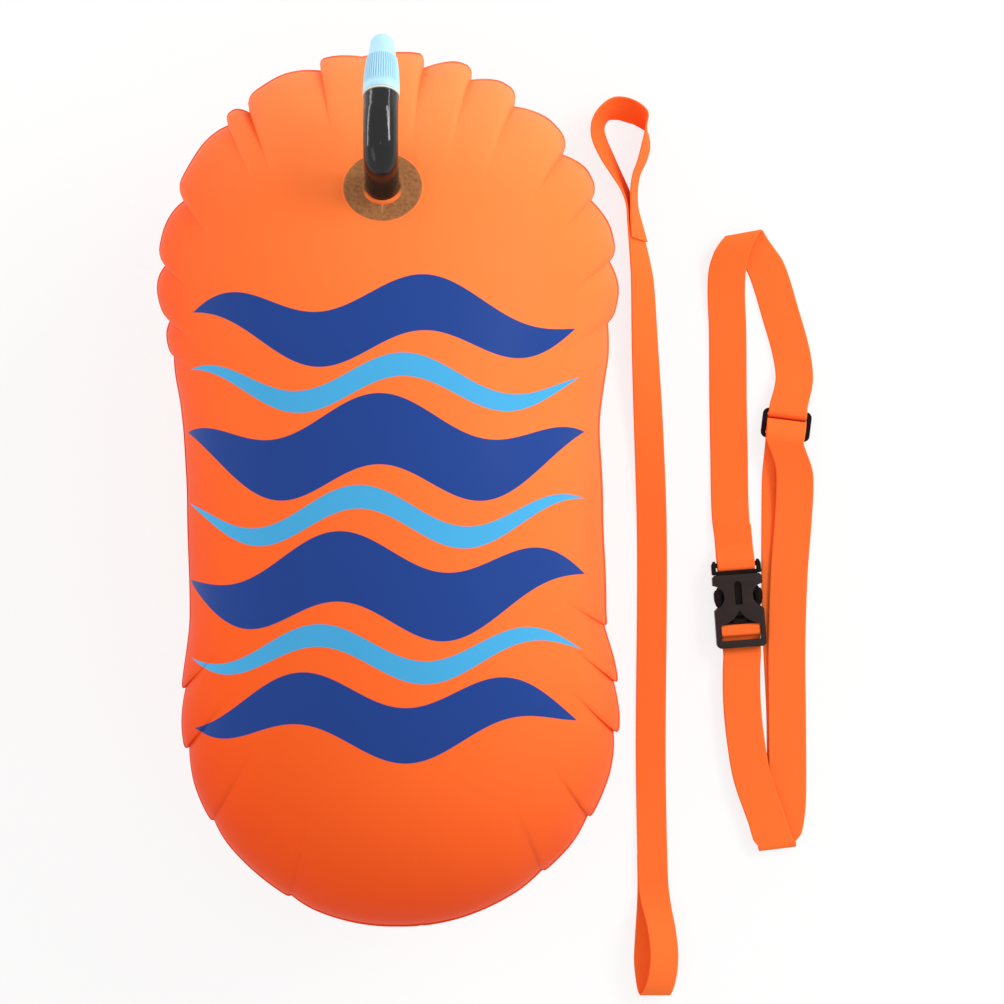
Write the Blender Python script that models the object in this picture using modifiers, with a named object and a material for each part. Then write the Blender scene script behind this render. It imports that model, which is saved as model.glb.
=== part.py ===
"""Open water swim buoy: an inflated two-panel bag with an oral valve, a towing leash and a waist belt.

The buoy lies on its back, valve side up. +X is the swimmer's right, +Y points to the valve end and +Z is up.
The origin is on the floor, in the middle of the flat patch that the bag rests on.
The leash and the belt lie on the floor beside it.
"""

import math

import bmesh
import bpy
from mathutils import Matrix, Vector

# General values
gap = 0.0003
overrun = 0.002
front = 1
back = -1
smooth_angle = math.radians(35)
corner_bends = 4

# Inflated bag
bag_length = 0.540
bag_depth = 0.243
rest_flat_depth = 0.0050
top_half_width = 0.139
waist_half_width = 0.1275
low_half_width = 0.1335
top_round_start = 0.115
low_round_start = -0.120
top_bulge_start = 0.030
top_bulge_end = 0.122
low_bulge_start = -0.075
low_bulge_end = -0.130
end_fall_power_share = 2.2
end_root_power_share = 0.62
film = 0.0006
film_smooth_angle = math.radians(50)
seam_width = 0.003
seam_height = bag_depth / 2 - rest_flat_depth

# Scalloped weld. Each notch is where it lies, as a share of the turn from +X, and its share of the depth.
notch_depth = 0.0085
notch_reach = 0.017
notch_power_share = 1.6
crease_start_share = 0.62
crease_fall_share = 0.16
notch_shares = (
    (0.0635, 0.55),
    (0.0898, 0.70),
    (0.1190, 0.80),
    (0.1455, 1.00),
    (0.1800, 1.00),
    (0.2059, 0.85),
    (0.2308, 0.95),
    (0.2600, 0.30),
    (0.2820, 0.75),
    (0.3253, 1.00),
    (0.3386, 0.60),
    (0.3806, 0.90),
    (0.4117, 0.75),
    (0.4356, 0.60),
    (0.4503, 0.35),
    (0.5764, 0.45),
    (0.6025, 0.50),
    (0.6380, 0.55),
    (0.6920, 0.45),
    (0.7600, 0.30),
    (0.8300, 0.45),
    (0.8640, 0.45),
    (0.9046, 0.50),
    (0.9260, 0.55),
    (0.9490, 0.35),
)
least_lobe_segments = 3
lobe_samples = 8
seam_segment = 0.024
bag_rings = 6

# Welded seats in the film, where it lies flat
seat_sink = 0.0012
seat_skirt = 0.0045
seat_rim = 0.0006
seat_cut_reach = 0.0135
seat_sides = 40

# Valve tube, with the flange that is welded under the front film
valve_place = 0.181
tube_radius = 0.0103
tube_wall = 0.0028
flange_radius = 0.0235
flange_thickness = 0.0015
tube_lip_height = 0.0012
tube_lip_wall = 0.0009
tube_riser = 0.0286
elbow_handle = 0.0048
crown_forward = 0.0240
crown_height = 0.0300
crown_handle = 0.0083
neck_handle = 0.0036
mouth_forward = 0.0505
mouth_height = 0.0229
mouth_slope = math.radians(27)
tube_bends = 4
tube_sides = 12

# Valve body, in the tube's mouth
body_spigot_length = 0.0100
body_bore = 0.0040
body_flange_radius = 0.0089
body_flange_height = 0.0012
body_stem_radius = 0.0063
body_stem_height = 0.0170
body_plate = 0.0022
body_groove_height = 0.0100
body_sides = 24
ring_groove_width = 0.0024
ring_groove_depth = 0.0013
nose_radius = 0.0018
nose_height = 0.0225
port_radius = 0.0011
port_circle = 0.0031
port_count = 4
port_sides = 10
seal_sides = 20
seal_section_step = 60
seal_smooth_angle = math.radians(80)
seal_ring_radius = 0.0007
plug_radius = 0.0036
plug_height = 0.0056
plug_cone = 0.0022
plug_tip_radius = 0.0020

# Slip ring under the mouthpiece
slip_rim_radius = 0.0109
slip_rim_height = 0.0012
slip_hub_radius = 0.0094
slip_hub_height = 0.0034
slip_ring_sides = 32

# Mouthpiece that turns and lifts
mouthpiece_length = 0.0400
mouthpiece_band = 0.0085
mouthpiece_grip = 0.0150
band_radius = 0.0109
grip_top_radius = 0.0092
lip_radius = 0.0077
lip_top_radius = 0.0066
tip_radius = 0.0047
tip_round = 0.0028
skirt_wall = 0.0012
grip_groove = 0.00035
throat_radius = 0.0026
throat_cone = 0.0032
mouth_bore = 0.0032
mouthpiece_turns = 40

# Tow patch and its webbing loop, on the back
tow_place = 0.196
patch_radius = 0.022
patch_thickness = 0.0012
patch_sides = 36
tow_web_width = 0.020
tow_web_thickness = 0.0014
tow_loop_stand = 0.013
tow_loop_half_length = 0.014
tow_loop_shares = ((-1, 0), (-0.62, 0), (-0.56, 0.03), (-0.49, 0.20), (-0.42, 0.50), (-0.30, 0.82), (0, 1))
tow_loop_segments = 3

# Stations that webbing may leave out
station_tolerance = 0.00006
station_turn = 0.02
longest_span = 0.045

# Leash webbing
leash_width = 0.020
leash_thickness = 0.0012
leash_segments = 3

# Leash route from the top loop's sewn end to the bottom loop's sewn end.
# Each row is x, y, the lift over the floor, and how far the upper edge leans along x and y.
leash_route = (
    (0.1625, 0.1660, 0.0004, -0.56, 0.10),
    (0.1603, 0.1785, 0.0004, -0.42, 0.07),
    (0.1590, 0.1890, 0.0003, -0.28, 0.03),
    (0.1590, 0.1997, 0.0002, -0.26, -0.04),
    (0.1606, 0.2092, 0.0002, -0.28, -0.10),
    (0.1642, 0.2180, 0.0002, -0.33, -0.10),
    (0.1668, 0.2283, 0.0002, -0.30, 0.00),
    (0.1672, 0.2385, 0.0002, -0.10, 0.08),
    (0.1640, 0.2465, 0.0002, 0.35, 0.38),
    (0.1560, 0.2515, 0.0002, 0.16, 0.68),
    (0.1465, 0.2530, 0.0002, -0.08, 0.66),
    (0.1388, 0.2490, 0.0002, -0.34, 0.30),
    (0.1350, 0.2417, 0.0002, -0.44, 0.08),
    (0.1358, 0.2330, 0.0002, -0.50, -0.10),
    (0.1404, 0.2223, 0.0002, -0.42, -0.26),
    (0.1468, 0.2103, 0.0002, -0.34, -0.20),
    (0.1525, 0.1997, 0.0002, -0.28, -0.12),
    (0.1562, 0.1890, 0.0002, -0.28, -0.05),
    (0.1586, 0.1764, 0.0002, -0.42, -0.07),
    (0.1612, 0.1631, 0.0002, -0.58, -0.08),
    (0.1645, 0.1391, 0.0002, -0.77, -0.08),
    (0.1664, 0.0945, 0.0001, -0.90, -0.04),
    (0.1690, 0.0385, 0.0000, -0.985, -0.02),
    (0.1710, -0.0180, 0.0000, -1.00, 0.00),
    (0.1713, -0.0680, 0.0000, -1.00, 0.00),
    (0.1704, -0.1679, 0.0000, -1.00, 0.00),
    (0.1710, -0.2232, 0.0005, -1.00, 0.00),
    (0.1714, -0.2420, 0.0016, -1.00, 0.00),
    (0.1718, -0.2560, 0.0018, -1.00, 0.00),
    (0.1725, -0.2665, 0.0020, -1.00, 0.00),
    (0.1742, -0.2775, 0.0052, -0.99, 0.06),
    (0.1768, -0.2892, 0.0088, -0.96, 0.10),
    (0.1787, -0.3051, 0.0110, -0.94, 0.04),
    (0.1782, -0.3171, 0.0112, -0.96, -0.06),
    (0.1764, -0.3270, 0.0106, -0.99, -0.08),
    (0.1745, -0.3328, 0.0086, -1.00, -0.04),
    (0.1730, -0.3352, 0.0056, -1.00, 0.00),
    (0.1718, -0.3335, 0.0022, -1.00, 0.00),
    (0.1706, -0.3275, 0.0002, -1.00, 0.00),
    (0.1692, -0.3138, 0.0000, -1.00, 0.00),
    (0.1698, -0.2985, 0.0000, -1.00, 0.00),
    (0.1710, -0.2798, 0.0000, -1.00, 0.00),
    (0.1716, -0.2640, 0.0000, -1.00, 0.00),
    (0.1713, -0.2430, 0.0000, -1.00, 0.00),
)

# Belt webbing
belt_width = 0.025
belt_thickness = 0.0013
belt_pitch = 0.0017
belt_segments = 2
layer_one = belt_thickness / 2
layer_two = layer_one + belt_pitch
layer_three = layer_two + belt_pitch
layer_four = layer_three + belt_pitch

# Side release buckle, in its own frame: +Y to the plug's end
buckle_x = 0.2285
buckle_y = -0.0755
buckle_turn = math.radians(4.2)
buckle_half_thickness = 0.0045
buckle_height = 0.0063
plate_thickness = 0.0017
socket_mouth = 0.0195
socket_end = -0.0290
socket_half_width = 0.0164
socket_corner = 0.0030
mouth_wall = 0.0024
mouth_depth = 0.0073
thumb_notch_y = 0.0050
thumb_notch_radius = 0.0078
thumb_notch_out = 0.0008
thumb_notch_start = 100
thumb_notch_end = 250
thumb_notch_bends = 8
body_shoulder = -0.0026
chamber_end = -0.0125
vee_apex = -0.0045
vee_foot = -0.0135
vee_shares = ((0.16, 0.35), (0.38, 0.68), (0.68, 0.92), (0.97, 1))
side_rail = 0.0030
inner_bar_y = -0.0180
inner_bar_width = 0.0044
inner_bar_bottom = -0.0019
inner_bar_top = 0.0016
inner_bar_rounding = 0.00096
rim_width = 0.0048
rim_underside = 0.0004
guide_slot_half_width = 0.0024
guide_slot_top = 0.0150
guide_slot_bottom = -0.0005
guide_slot_bends = 6
guide_rail = 0.0013

plug_end = 0.0290
plug_bar_y = 0.0260
plug_bar_radius = 0.0016
plug_bar_sides = 12
plug_ear_width = 0.0029
plug_ear_outer_corner = 0.0013
plug_ear_inner_corner = 0.0003
plug_ear_inner_drop = 0.0012
plug_ear_rounding = 0.0005
plug_web_top = 0.0222
plug_web_bottom = 0.0150
plug_guide_half_width = 0.0028
plug_guide_tip_half_width = 0.0014
plug_guide_end = -0.0080
arm_root_y = 0.0150
arm_beam = 0.0021
arm_root_x = 0.0112
arm_flare = 0.0003
arm_waist = 0.0008
arm_belly = 0.0013
arm_pad_out = 0.0160
arm_pad_y = 0.0050
arm_pad_half_length = 0.0062
arm_pad_half_thickness = 0.0040
arm_flat_top = 0.0078
arm_flat_bottom = 0.0028
arm_tip_y = -0.0105
arm_tip_width = 0.0034
arm_tip_rise = 0.0013
arm_shoulder_out = 0.0011

# Thumb pad's outline. Each row is how far in and how far along, as shares of the beam and of the pad.
arm_pad_shares = ((1.5, 0.72), (0.5, 0.66), (0, 0.40), (0, -0.30), (0.5, -0.62), (1.5, -0.70))

# Strap adjuster, in its own frame: +Y up the strap
adjuster_x = 0.2602
adjuster_y = 0.0432
adjuster_turn = math.radians(-7)
adjuster_height = 0.0050
adjuster_half_width = 0.0163
adjuster_half_length = 0.0100
adjuster_half_thickness = 0.00125
adjuster_bar = 0.0030
adjuster_centre_bar = 0.0032
adjuster_side = 0.0032
adjuster_corner = 0.0040
adjuster_rounding = 0.00044

# Belt route on the floor. Each row is x, y, z and how far the strap's left edge leans along x and y.
belt_left_strand = (
    (0.2236, -0.0200, layer_two, -1.0, 0.00),
    (0.2229, -0.0040, layer_one + 0.0006, -1.0, 0.00),
    (0.2226, 0.0205, layer_one, -1.0, 0.00),
    (0.2219, 0.0598, layer_one, -1.0, 0.00),
    (0.2216, 0.1051, layer_one + 0.0004, -1.0, 0.00),
    (0.2206, 0.1298, 0.0022, -1.0, 0.00),
    (0.2212, 0.1464, 0.0046, -1.0, -0.03),
    (0.2243, 0.1584, 0.0070, -0.99, -0.10),
    (0.2283, 0.1660, 0.0076, -0.985, -0.16),
    (0.2313, 0.1697, 0.0060, -0.984, -0.177),
    (0.2322, 0.1703, 0.0040, -0.984, -0.177),
    (0.2335, 0.1690, 0.0018, -0.984, -0.177),
    (0.2365, 0.1640, layer_one + 0.0001, -0.98, -0.20),
    (0.2412, 0.1570, layer_one, -0.97, -0.24),
    (0.2464, 0.1491, layer_one, -0.96, -0.27),
    (0.2512, 0.1364, layer_one, -0.96, -0.27),
    (0.2570, 0.1164, layer_one, -0.96, -0.27),
    (0.2622, 0.0985, layer_one + 0.0004, -0.97, -0.24),
    (0.2652, 0.0838, 0.0019, -0.99, -0.12),
    (0.2655, 0.0712, 0.0044, -0.999, 0.04),
)
belt_rear_strand = (
    (0.2577, 0.0195, 0.0040, -0.995, 0.08),
    (0.2570, 0.0100, 0.0016, -1.0, 0.03),
    (0.2567, -0.0014, layer_one, -1.0, 0.00),
    (0.2565, -0.0387, layer_one, -1.0, 0.00),
    (0.2567, -0.0734, layer_one, -1.0, 0.00),
    (0.2578, -0.1060, layer_one, -1.0, 0.00),
    (0.2600, -0.1553, layer_one, -1.0, 0.00),
    (0.2597, -0.2066, layer_one, -1.0, 0.00),
    (0.2575, -0.2300, layer_one, -0.995, -0.10),
)
belt_top_left_strand = (
    (0.2505, -0.2300, layer_four, -0.98, -0.20),
    (0.2468, -0.2175, layer_four, -0.975, -0.22),
    (0.2375, -0.1906, layer_four, -0.975, -0.22),
    (0.2330, -0.1640, layer_four, -0.99, -0.13),
    (0.2308, -0.1400, layer_four, -1.0, -0.04),
    (0.2306, -0.1180, layer_four - 0.0002, -0.998, -0.06),
)
belt_low_left_strand = (
    (0.2306, -0.1180, layer_three - 0.0002, -0.998, -0.06),
    (0.2308, -0.1400, layer_three, -1.0, -0.04),
    (0.2330, -0.1640, layer_three, -0.99, -0.13),
    (0.2375, -0.1906, layer_three, -0.975, -0.22),
    (0.2468, -0.2175, layer_three, -0.975, -0.22),
    (0.2507, -0.2290, layer_three, -0.98, -0.20),
)
belt_front_strand = (
    (0.2585, -0.2290, layer_two, -0.995, -0.10),
    (0.2612, -0.2066, layer_two, -1.0, 0.00),
    (0.2612, -0.1553, layer_two, -1.0, 0.00),
    (0.2608, -0.1060, layer_two, -1.0, 0.00),
    (0.2622, -0.0574, layer_two, -1.0, 0.00),
    (0.2650, -0.0201, layer_two + 0.0004, -1.0, 0.02),
    (0.2660, 0.0020, layer_three + 0.0003, -0.998, 0.06),
    (0.2650, 0.0150, layer_three + 0.0026, -0.995, 0.10),
)
belt_fold_x = 0.2542
belt_fold_y = -0.2355
belt_fold_turn = math.radians(7)
belt_fold_bulge_share = 1.08
outer_fold_rows = 7
inner_fold_rows = 5
belt_tail_length = 0.026
belt_tail_bend = 0.0087

# Belt's turn round the plug's bar. Each row is how far along and how high, as shares of its radius.
plug_wrap_shares = (
    (3, -1.716),
    (0.5, -1),
    (-0.71, -0.71),
    (-1, 0),
    (-0.71, 0.71),
    (0, 1),
    (1.5, 0.92),
    (4.5, -1.294),
)

# Belt route in the adjuster. Each row is how far along the strap and how high it lies, in the adjuster's frame.
adjuster_upper_route = (
    (0.0133, 0.00185),
    (0.0085, 0.00230),
    (0.0070, 0.00222),
    (0.0059, 0.00160),
    (0.0051, 0.00060),
    (0.0046, -0.00080),
    (0.0043, -0.00220),
    (0.0034, -0.00335),
    (0.0018, -0.00395),
)
adjuster_under_height = -0.0040
adjuster_sewn_route = (
    (-0.0115, 0.00560),
    (-0.0085, 0.00585),
    (-0.0052, 0.00530),
    (-0.0021, 0.00400),
    (0.0000, 0.00265),
    (0.0014, 0.00225),
    (0.0023, 0.00175),
    (0.0026, 0.00090),
    (0.0026, -0.00090),
    (0.0023, -0.00175),
    (0.0014, -0.00222),
    (-0.0014, -0.00222),
    (-0.0023, -0.00175),
    (-0.0026, -0.00090),
    (-0.0027, 0.00030),
    (-0.0030, 0.00140),
    (-0.0038, 0.00255),
    (-0.0054, 0.00360),
    (-0.0085, 0.00410),
    (-0.0115, 0.00390),
)


def clear_scene():
    for old in list(bpy.data.objects):
        bpy.data.objects.remove(old, do_unlink=True)


def new_collection(name):
    made = bpy.data.collections.new(name)
    bpy.context.scene.collection.children.link(made)
    return made


def new_material(name, colour, roughness, metallic=0.0):
    made = bpy.data.materials.new(name)
    made.use_nodes = True
    shader = made.node_tree.nodes["Principled BSDF"]
    shader.inputs["Base Color"].default_value = (*colour, 1.0)
    shader.inputs["Roughness"].default_value = roughness
    shader.inputs["Metallic"].default_value = metallic
    return made


def put_object(name, mesh, material=None):
    """A sub-part when it has a material, and a guide for a Boolean when it has none."""
    made = bpy.data.objects.new(name, mesh)
    if material is None:
        guides.objects.link(made)
        made.hide_render = True
        made.display_type = "WIRE"
    else:
        parts.objects.link(made)
        mesh.materials.append(material)
    return made


def mesh_from(work, name):
    mesh = bpy.data.meshes.new(name)
    work.to_mesh(mesh)
    work.free()
    return mesh


def only(items, kind):
    return [item for item in items if isinstance(item, kind)]


def turned(name, profile, steps, material=None):
    """A closed profile in (radius, height), turned about Z. It runs down its outer side."""
    work = bmesh.new()
    corners = [work.verts.new((radius, 0, height)) for radius, height in profile]
    on_axis = profile[0][0] == 0 and profile[-1][0] == 0
    last = len(corners) - 1 if on_axis else len(corners)
    for number in range(last):
        work.edges.new((corners[number], corners[(number + 1) % len(corners)]))
    made = put_object(name, mesh_from(work, name), material)
    screw = made.modifiers.new("turn", "SCREW")
    screw.steps = steps
    screw.render_steps = steps
    screw.use_merge_vertices = True
    screw.merge_threshold = 0.00001
    return made


def block(name, low, high):
    """A box between two corners, in the frame of its object."""
    work = bmesh.new()
    bmesh.ops.create_cube(work, size=1)
    low, high = Vector(low), Vector(high)
    for corner in work.verts:
        corner.co = (low + high) / 2 + Vector(
            [corner.co[axis] * (high[axis] - low[axis]) for axis in range(3)]
        )
    return put_object(name, mesh_from(work, name))


def cylinder(name, radius, low, high, along, place, sides):
    """A cylinder from low to high along X or Z, through the place given for the other two axes."""
    work = bmesh.new()
    bmesh.ops.create_cone(
        work, cap_ends=True, segments=sides, radius1=radius, radius2=radius, depth=1
    )
    turn = Matrix.Rotation(math.pi / 2, 3, "Y") if along == "X" else Matrix.Identity(3)
    axis = "XYZ".index(along)
    for corner in work.verts:
        corner.co.z *= high - low
        corner.co = turn @ corner.co
        corner.co += Vector(place)
        corner.co[axis] += (low + high) / 2
    bmesh.ops.recalc_face_normals(work, faces=work.faces)
    return put_object(name, mesh_from(work, name))


def flat_outline(name, points, low, high, material=None):
    """A flat outline in X and Y, filled and pulled up from low to high."""
    work = bmesh.new()
    face = work.faces.new([work.verts.new((x, y, low)) for x, y in points])
    face.normal_update()
    if face.normal.z > 0:
        face.normal_flip()
    pulled = bmesh.ops.extrude_face_region(work, geom=[face])["geom"]
    for corner in only(pulled, bmesh.types.BMVert):
        corner.co.z = high
    bmesh.ops.recalc_face_normals(work, faces=work.faces)
    return put_object(name, mesh_from(work, name), material)


def combine(target, other, operation):
    tool = target.modifiers.new(operation.lower() + "_" + other.name, "BOOLEAN")
    tool.operation = operation
    tool.solver = "EXACT"
    tool.object = other


def round_edges(target, width, segments):
    bevel = target.modifiers.new("rounded_edges", "BEVEL")
    bevel.width = width
    bevel.segments = segments
    bevel.limit_method = "ANGLE"
    bevel.angle_limit = smooth_angle
    bevel.use_clamp_overlap = True


def freeze(target):
    """Turns a piece's modifiers into its own mesh, so that single vertices can be moved."""
    bpy.context.view_layer.update()
    graph = bpy.context.evaluated_depsgraph_get()
    mesh = bpy.data.meshes.new_from_object(target.evaluated_get(graph))
    target.modifiers.clear()
    target.data = mesh


def smooth(target, angle=smooth_angle):
    target.data.shade_smooth()
    target.data.set_sharp_from_angle(angle=angle)


def smooth_step(low, high, value):
    share = min(1.0, max(0.0, (value - low) / (high - low)))
    return share * share * (3 - 2 * share)


def place_frame(target, frame):
    target.matrix_world = frame


def mirrored(points):
    """The right half of an outline, followed by its left half."""
    return list(points) + [(-x, y) for x, y in reversed(points)]


def arc(centre_x, centre_y, radius, start, end, count):
    """Points on an arc from start to end, in degrees."""
    angles = [math.radians(start + (end - start) * n / count) for n in range(count + 1)]
    return [(centre_x + radius * math.cos(a), centre_y + radius * math.sin(a)) for a in angles]


# Bag shape


def outline_half_width(y):
    """Half the bag's width at a place along its length, before the notches."""
    half_length = bag_length / 2
    width = waist_half_width
    width += (top_half_width - waist_half_width) * smooth_step(top_bulge_start, top_bulge_end, y)
    width += (low_half_width - waist_half_width) * smooth_step(low_bulge_start, low_bulge_end, y)
    if y > top_round_start:
        share = (y - top_round_start) / (half_length - top_round_start)
        width *= math.sqrt(max(0.0, 1 - share * share))
    if y < low_round_start:
        share = (y - low_round_start) / (-half_length - low_round_start)
        width *= math.sqrt(max(0.0, 1 - share * share))
    return width


def outline_point(turn_share):
    angle = 2 * math.pi * turn_share
    y = bag_length / 2 * math.sin(angle)
    side = 1 if math.cos(angle) >= 0 else -1
    return side * outline_half_width(y), y


def bag_rise(x, y):
    """How far the film stands from the seam's plane."""
    half_width = outline_half_width(y)
    across = min(1.0, abs(x) / half_width) if half_width > gap else 1.0
    along = min(1.0, abs(y) / (bag_length / 2)) ** end_fall_power_share
    return bag_depth / 2 * (1 - along) ** end_root_power_share * math.sqrt(1 - across * across)


def notch_dip(x, y):
    """How deep the nearest notch draws this point of the outline in."""
    dip = 0.0
    for turn_share, depth_share in notch_shares:
        notch_x, notch_y = outline_point(turn_share)
        near = max(0.0, 1 - math.hypot(x - notch_x, y - notch_y) / notch_reach)
        dip = max(dip, notch_depth * depth_share * near ** notch_power_share)
    return dip


def bag_point(turn_share, out_share, side):
    """A point of the outer film: out_share is 1 at the seam and 0 in the middle."""
    edge_x, edge_y = outline_point(turn_share)
    dip = notch_dip(edge_x, edge_y)
    edge = smooth_step(crease_start_share, 1, out_share)
    drawn = out_share * (1 - dip * edge / math.hypot(edge_x, edge_y))
    rise = bag_rise(edge_x * out_share, edge_y * out_share)
    rise *= 1 - crease_fall_share * dip / notch_depth * edge
    z = seam_height + side * (gap / 2 + film + rise)
    return Vector((edge_x * drawn, edge_y * drawn, max(0.0, z)))


def seam_turns():
    """The turn shares of the seam's corners: every notch is one, with even steps between."""
    turns = []
    starts = [share for share, depth in notch_shares]
    for start, end in zip(starts, starts[1:] + [starts[0] + 1]):
        steps = [start + (end - start) * n / lobe_samples for n in range(lobe_samples + 1)]
        samples = [Vector(outline_point(step % 1)) for step in steps]
        length = sum((b - a).length for a, b in zip(samples, samples[1:]))
        count = max(least_lobe_segments, round(length / seam_segment))
        turns += [(start + (end - start) * n / count) % 1 for n in range(count)]
    return turns


def panel(name, side, material):
    """One half of the bag: a half sphere drawn to the bag's shape, its weld flange, and the film's inner face."""
    turns = seam_turns()
    work = bmesh.new()
    bmesh.ops.create_uvsphere(work, u_segments=len(turns), v_segments=2 * bag_rings, radius=1)
    lower = [corner for corner in work.verts if corner.co.z * side < -gap]
    bmesh.ops.delete(work, geom=lower, context="VERTS")
    for corner in work.verts:
        turn = math.atan2(corner.co.y, corner.co.x) / (2 * math.pi) % 1
        number = round(turn * len(turns))
        out_share = math.hypot(corner.co.x, corner.co.y)
        corner.co = bag_point(turns[number % len(turns)], out_share, side)
    bmesh.ops.triangulate(work, faces=work.faces)
    outer_seam = [edge for edge in work.edges if edge.is_boundary]
    copied = bmesh.ops.duplicate(work, geom=work.verts[:] + work.edges[:] + work.faces[:])["geom"]
    inner_faces = only(copied, bmesh.types.BMFace)
    inner_seam = [edge for edge in only(copied, bmesh.types.BMEdge) if edge.is_boundary]
    for corner in only(copied, bmesh.types.BMVert):
        flat = Vector((corner.co.x, corner.co.y, 0))
        inward = flat.normalized() * film * min(1.0, flat.length / waist_half_width)
        corner.co -= inward + Vector((0, 0, side * film))
    bmesh.ops.reverse_faces(work, faces=inner_faces)
    for across, down in ((seam_width, 0), (0, side * film)):
        pulled = bmesh.ops.extrude_edge_only(work, edges=outer_seam)["geom"]
        outer_seam = [edge for edge in only(pulled, bmesh.types.BMEdge) if edge.is_boundary]
        for corner in only(pulled, bmesh.types.BMVert):
            corner.co += Vector((corner.co.x, corner.co.y, 0)).normalized() * across
            corner.co.z -= down
    bmesh.ops.bridge_loops(work, edges=outer_seam + inner_seam)
    bmesh.ops.triangulate(work, faces=work.faces)
    bmesh.ops.recalc_face_normals(work, faces=work.faces)
    return put_object(name, mesh_from(work, name), material)


def seat_frame(y, side):
    """The frame of a flat seat in the film: its Z axis stands off the film."""
    step = film
    slope = (bag_rise(0, y + step) - bag_rise(0, y - step)) / (2 * step)
    tilt = math.atan(-slope)
    turn = -tilt if side == front else math.pi + tilt
    surface = Vector((0, y, seam_height + side * (gap / 2 + film + bag_rise(0, y))))
    frame = Matrix.Translation(surface) @ Matrix.Rotation(turn, 4, "X")
    return frame @ Matrix.Translation((0, 0, -seat_sink))


def weld_seat(panel_object, name, frame, radius, hole=0.0):
    """Replaces a round piece of the film by a flat seat with a skirt, with an opening in it if hole is set."""
    inner = radius - seat_rim
    middle = radius - seat_rim / 2
    cutter = cylinder(name + "_cut", middle, -seat_cut_reach, seat_cut_reach, "Z", (0, 0, 0), seat_sides)
    place_frame(cutter, frame)
    combine(panel_object, cutter, "DIFFERENCE")
    if hole:
        lip = hole + tube_lip_wall
        profile = [
            (hole, tube_lip_height),
            (lip, tube_lip_height),
            (lip, 0),
            (radius, 0),
            (radius, -seat_skirt),
            (inner, -seat_skirt),
            (inner, -film),
            (hole, -film),
        ]
    else:
        profile = [
            (0, 0),
            (radius, 0),
            (radius, -seat_skirt),
            (inner, -seat_skirt),
            (inner, -film),
            (0, -film),
        ]
    seat = turned(name + "_film", profile, seat_sides)
    place_frame(seat, frame)
    combine(panel_object, seat, "UNION")


# Valve


def valve_tube(frame, material):
    """The bent tube: a curve from the flange, up off the film, over the crown and down to the mouth."""
    foot = frame @ Vector((0, 0, -film - gap - flange_thickness))
    off_film = (frame.to_3x3() @ Vector((0, 0, 1))).normalized()
    middle = frame.translation
    crown = Vector((0, middle.y + crown_forward, middle.z + crown_height))
    mouth = Vector((0, middle.y + mouth_forward, middle.z + mouth_height))
    forward = Vector((0, 1, 0))
    mouth_way = Vector((0, math.cos(mouth_slope), -math.sin(mouth_slope)))
    neck = mouth - mouth_way * (body_spigot_length + gap)
    curve = bpy.data.curves.new("valve_tube_path", "CURVE")
    curve.dimensions = "3D"
    curve.bevel_depth = tube_radius
    curve.bevel_resolution = tube_sides // 2 - 2
    curve.resolution_u = tube_bends
    spline = curve.splines.new("BEZIER")
    route = (
        (foot, off_film, elbow_handle, elbow_handle),
        (foot + off_film * tube_riser, off_film, elbow_handle, elbow_handle),
        (crown, forward, elbow_handle, crown_handle),
        (neck, mouth_way, neck_handle, neck_handle),
        (mouth, mouth_way, neck_handle, neck_handle),
    )
    spline.bezier_points.add(len(route) - 1)
    for point, (place, way, reach_back, reach_on) in zip(spline.bezier_points, route):
        point.handle_left_type = "FREE"
        point.handle_right_type = "FREE"
        point.co = place
        point.handle_left = place - way * reach_back
        point.handle_right = place + way * reach_on
    path = bpy.data.objects.new("valve_tube_path", curve)
    parts.objects.link(path)
    bpy.context.view_layer.update()
    graph = bpy.context.evaluated_depsgraph_get()
    mesh = bpy.data.meshes.new_from_object(path.evaluated_get(graph))
    bpy.data.objects.remove(path, do_unlink=True)
    made = put_object("valve_tube", mesh, material)
    wall = made.modifiers.new("wall", "SOLIDIFY")
    wall.thickness = tube_wall
    wall.offset = -1
    wall.use_even_offset = True
    inner = tube_radius - tube_wall / 2
    profile = [
        (inner, -film - gap),
        (flange_radius, -film - gap),
        (flange_radius, -film - gap - flange_thickness),
        (inner, -film - gap - flange_thickness),
    ]
    flange = turned("valve_tube_flange", profile, seat_sides)
    place_frame(flange, frame)
    combine(made, flange, "UNION")
    head = Matrix.Translation(mouth) @ Matrix.Rotation(-math.pi / 2 - mouth_slope, 4, "X")
    return made, head


def valve_body(head, material):
    """Spigot in the tube, flange on its end, stem with a groove for its seal, and the nose of the plug."""
    spigot = tube_radius * math.cos(math.pi / tube_sides) - tube_wall - gap
    groove = body_stem_radius - ring_groove_depth
    groove_top = body_groove_height + ring_groove_width
    plate = body_stem_height - body_plate
    profile = [
        (0, nose_height),
        (nose_radius, nose_height),
        (nose_radius, body_stem_height),
        (body_stem_radius, body_stem_height),
        (body_stem_radius, groove_top),
        (groove, groove_top),
        (groove, body_groove_height),
        (body_stem_radius, body_groove_height),
        (body_stem_radius, gap + body_flange_height),
        (body_flange_radius, gap + body_flange_height),
        (body_flange_radius, gap),
        (spigot, gap),
        (spigot, -body_spigot_length),
        (body_bore, -body_spigot_length),
        (body_bore, plate),
        (0, plate),
    ]
    made = turned("valve_body", profile, body_sides, material)
    place_frame(made, head)
    for number in range(port_count):
        angle = 2 * math.pi * number / port_count
        place = (port_circle * math.cos(angle), port_circle * math.sin(angle), 0)
        name = f"valve_port_{number + 1}"
        port = cylinder(name, port_radius, plate - overrun, body_stem_height + overrun, "Z", place, port_sides)
        place_frame(port, head)
        combine(made, port, "DIFFERENCE")
    smooth(made)
    return made


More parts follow.
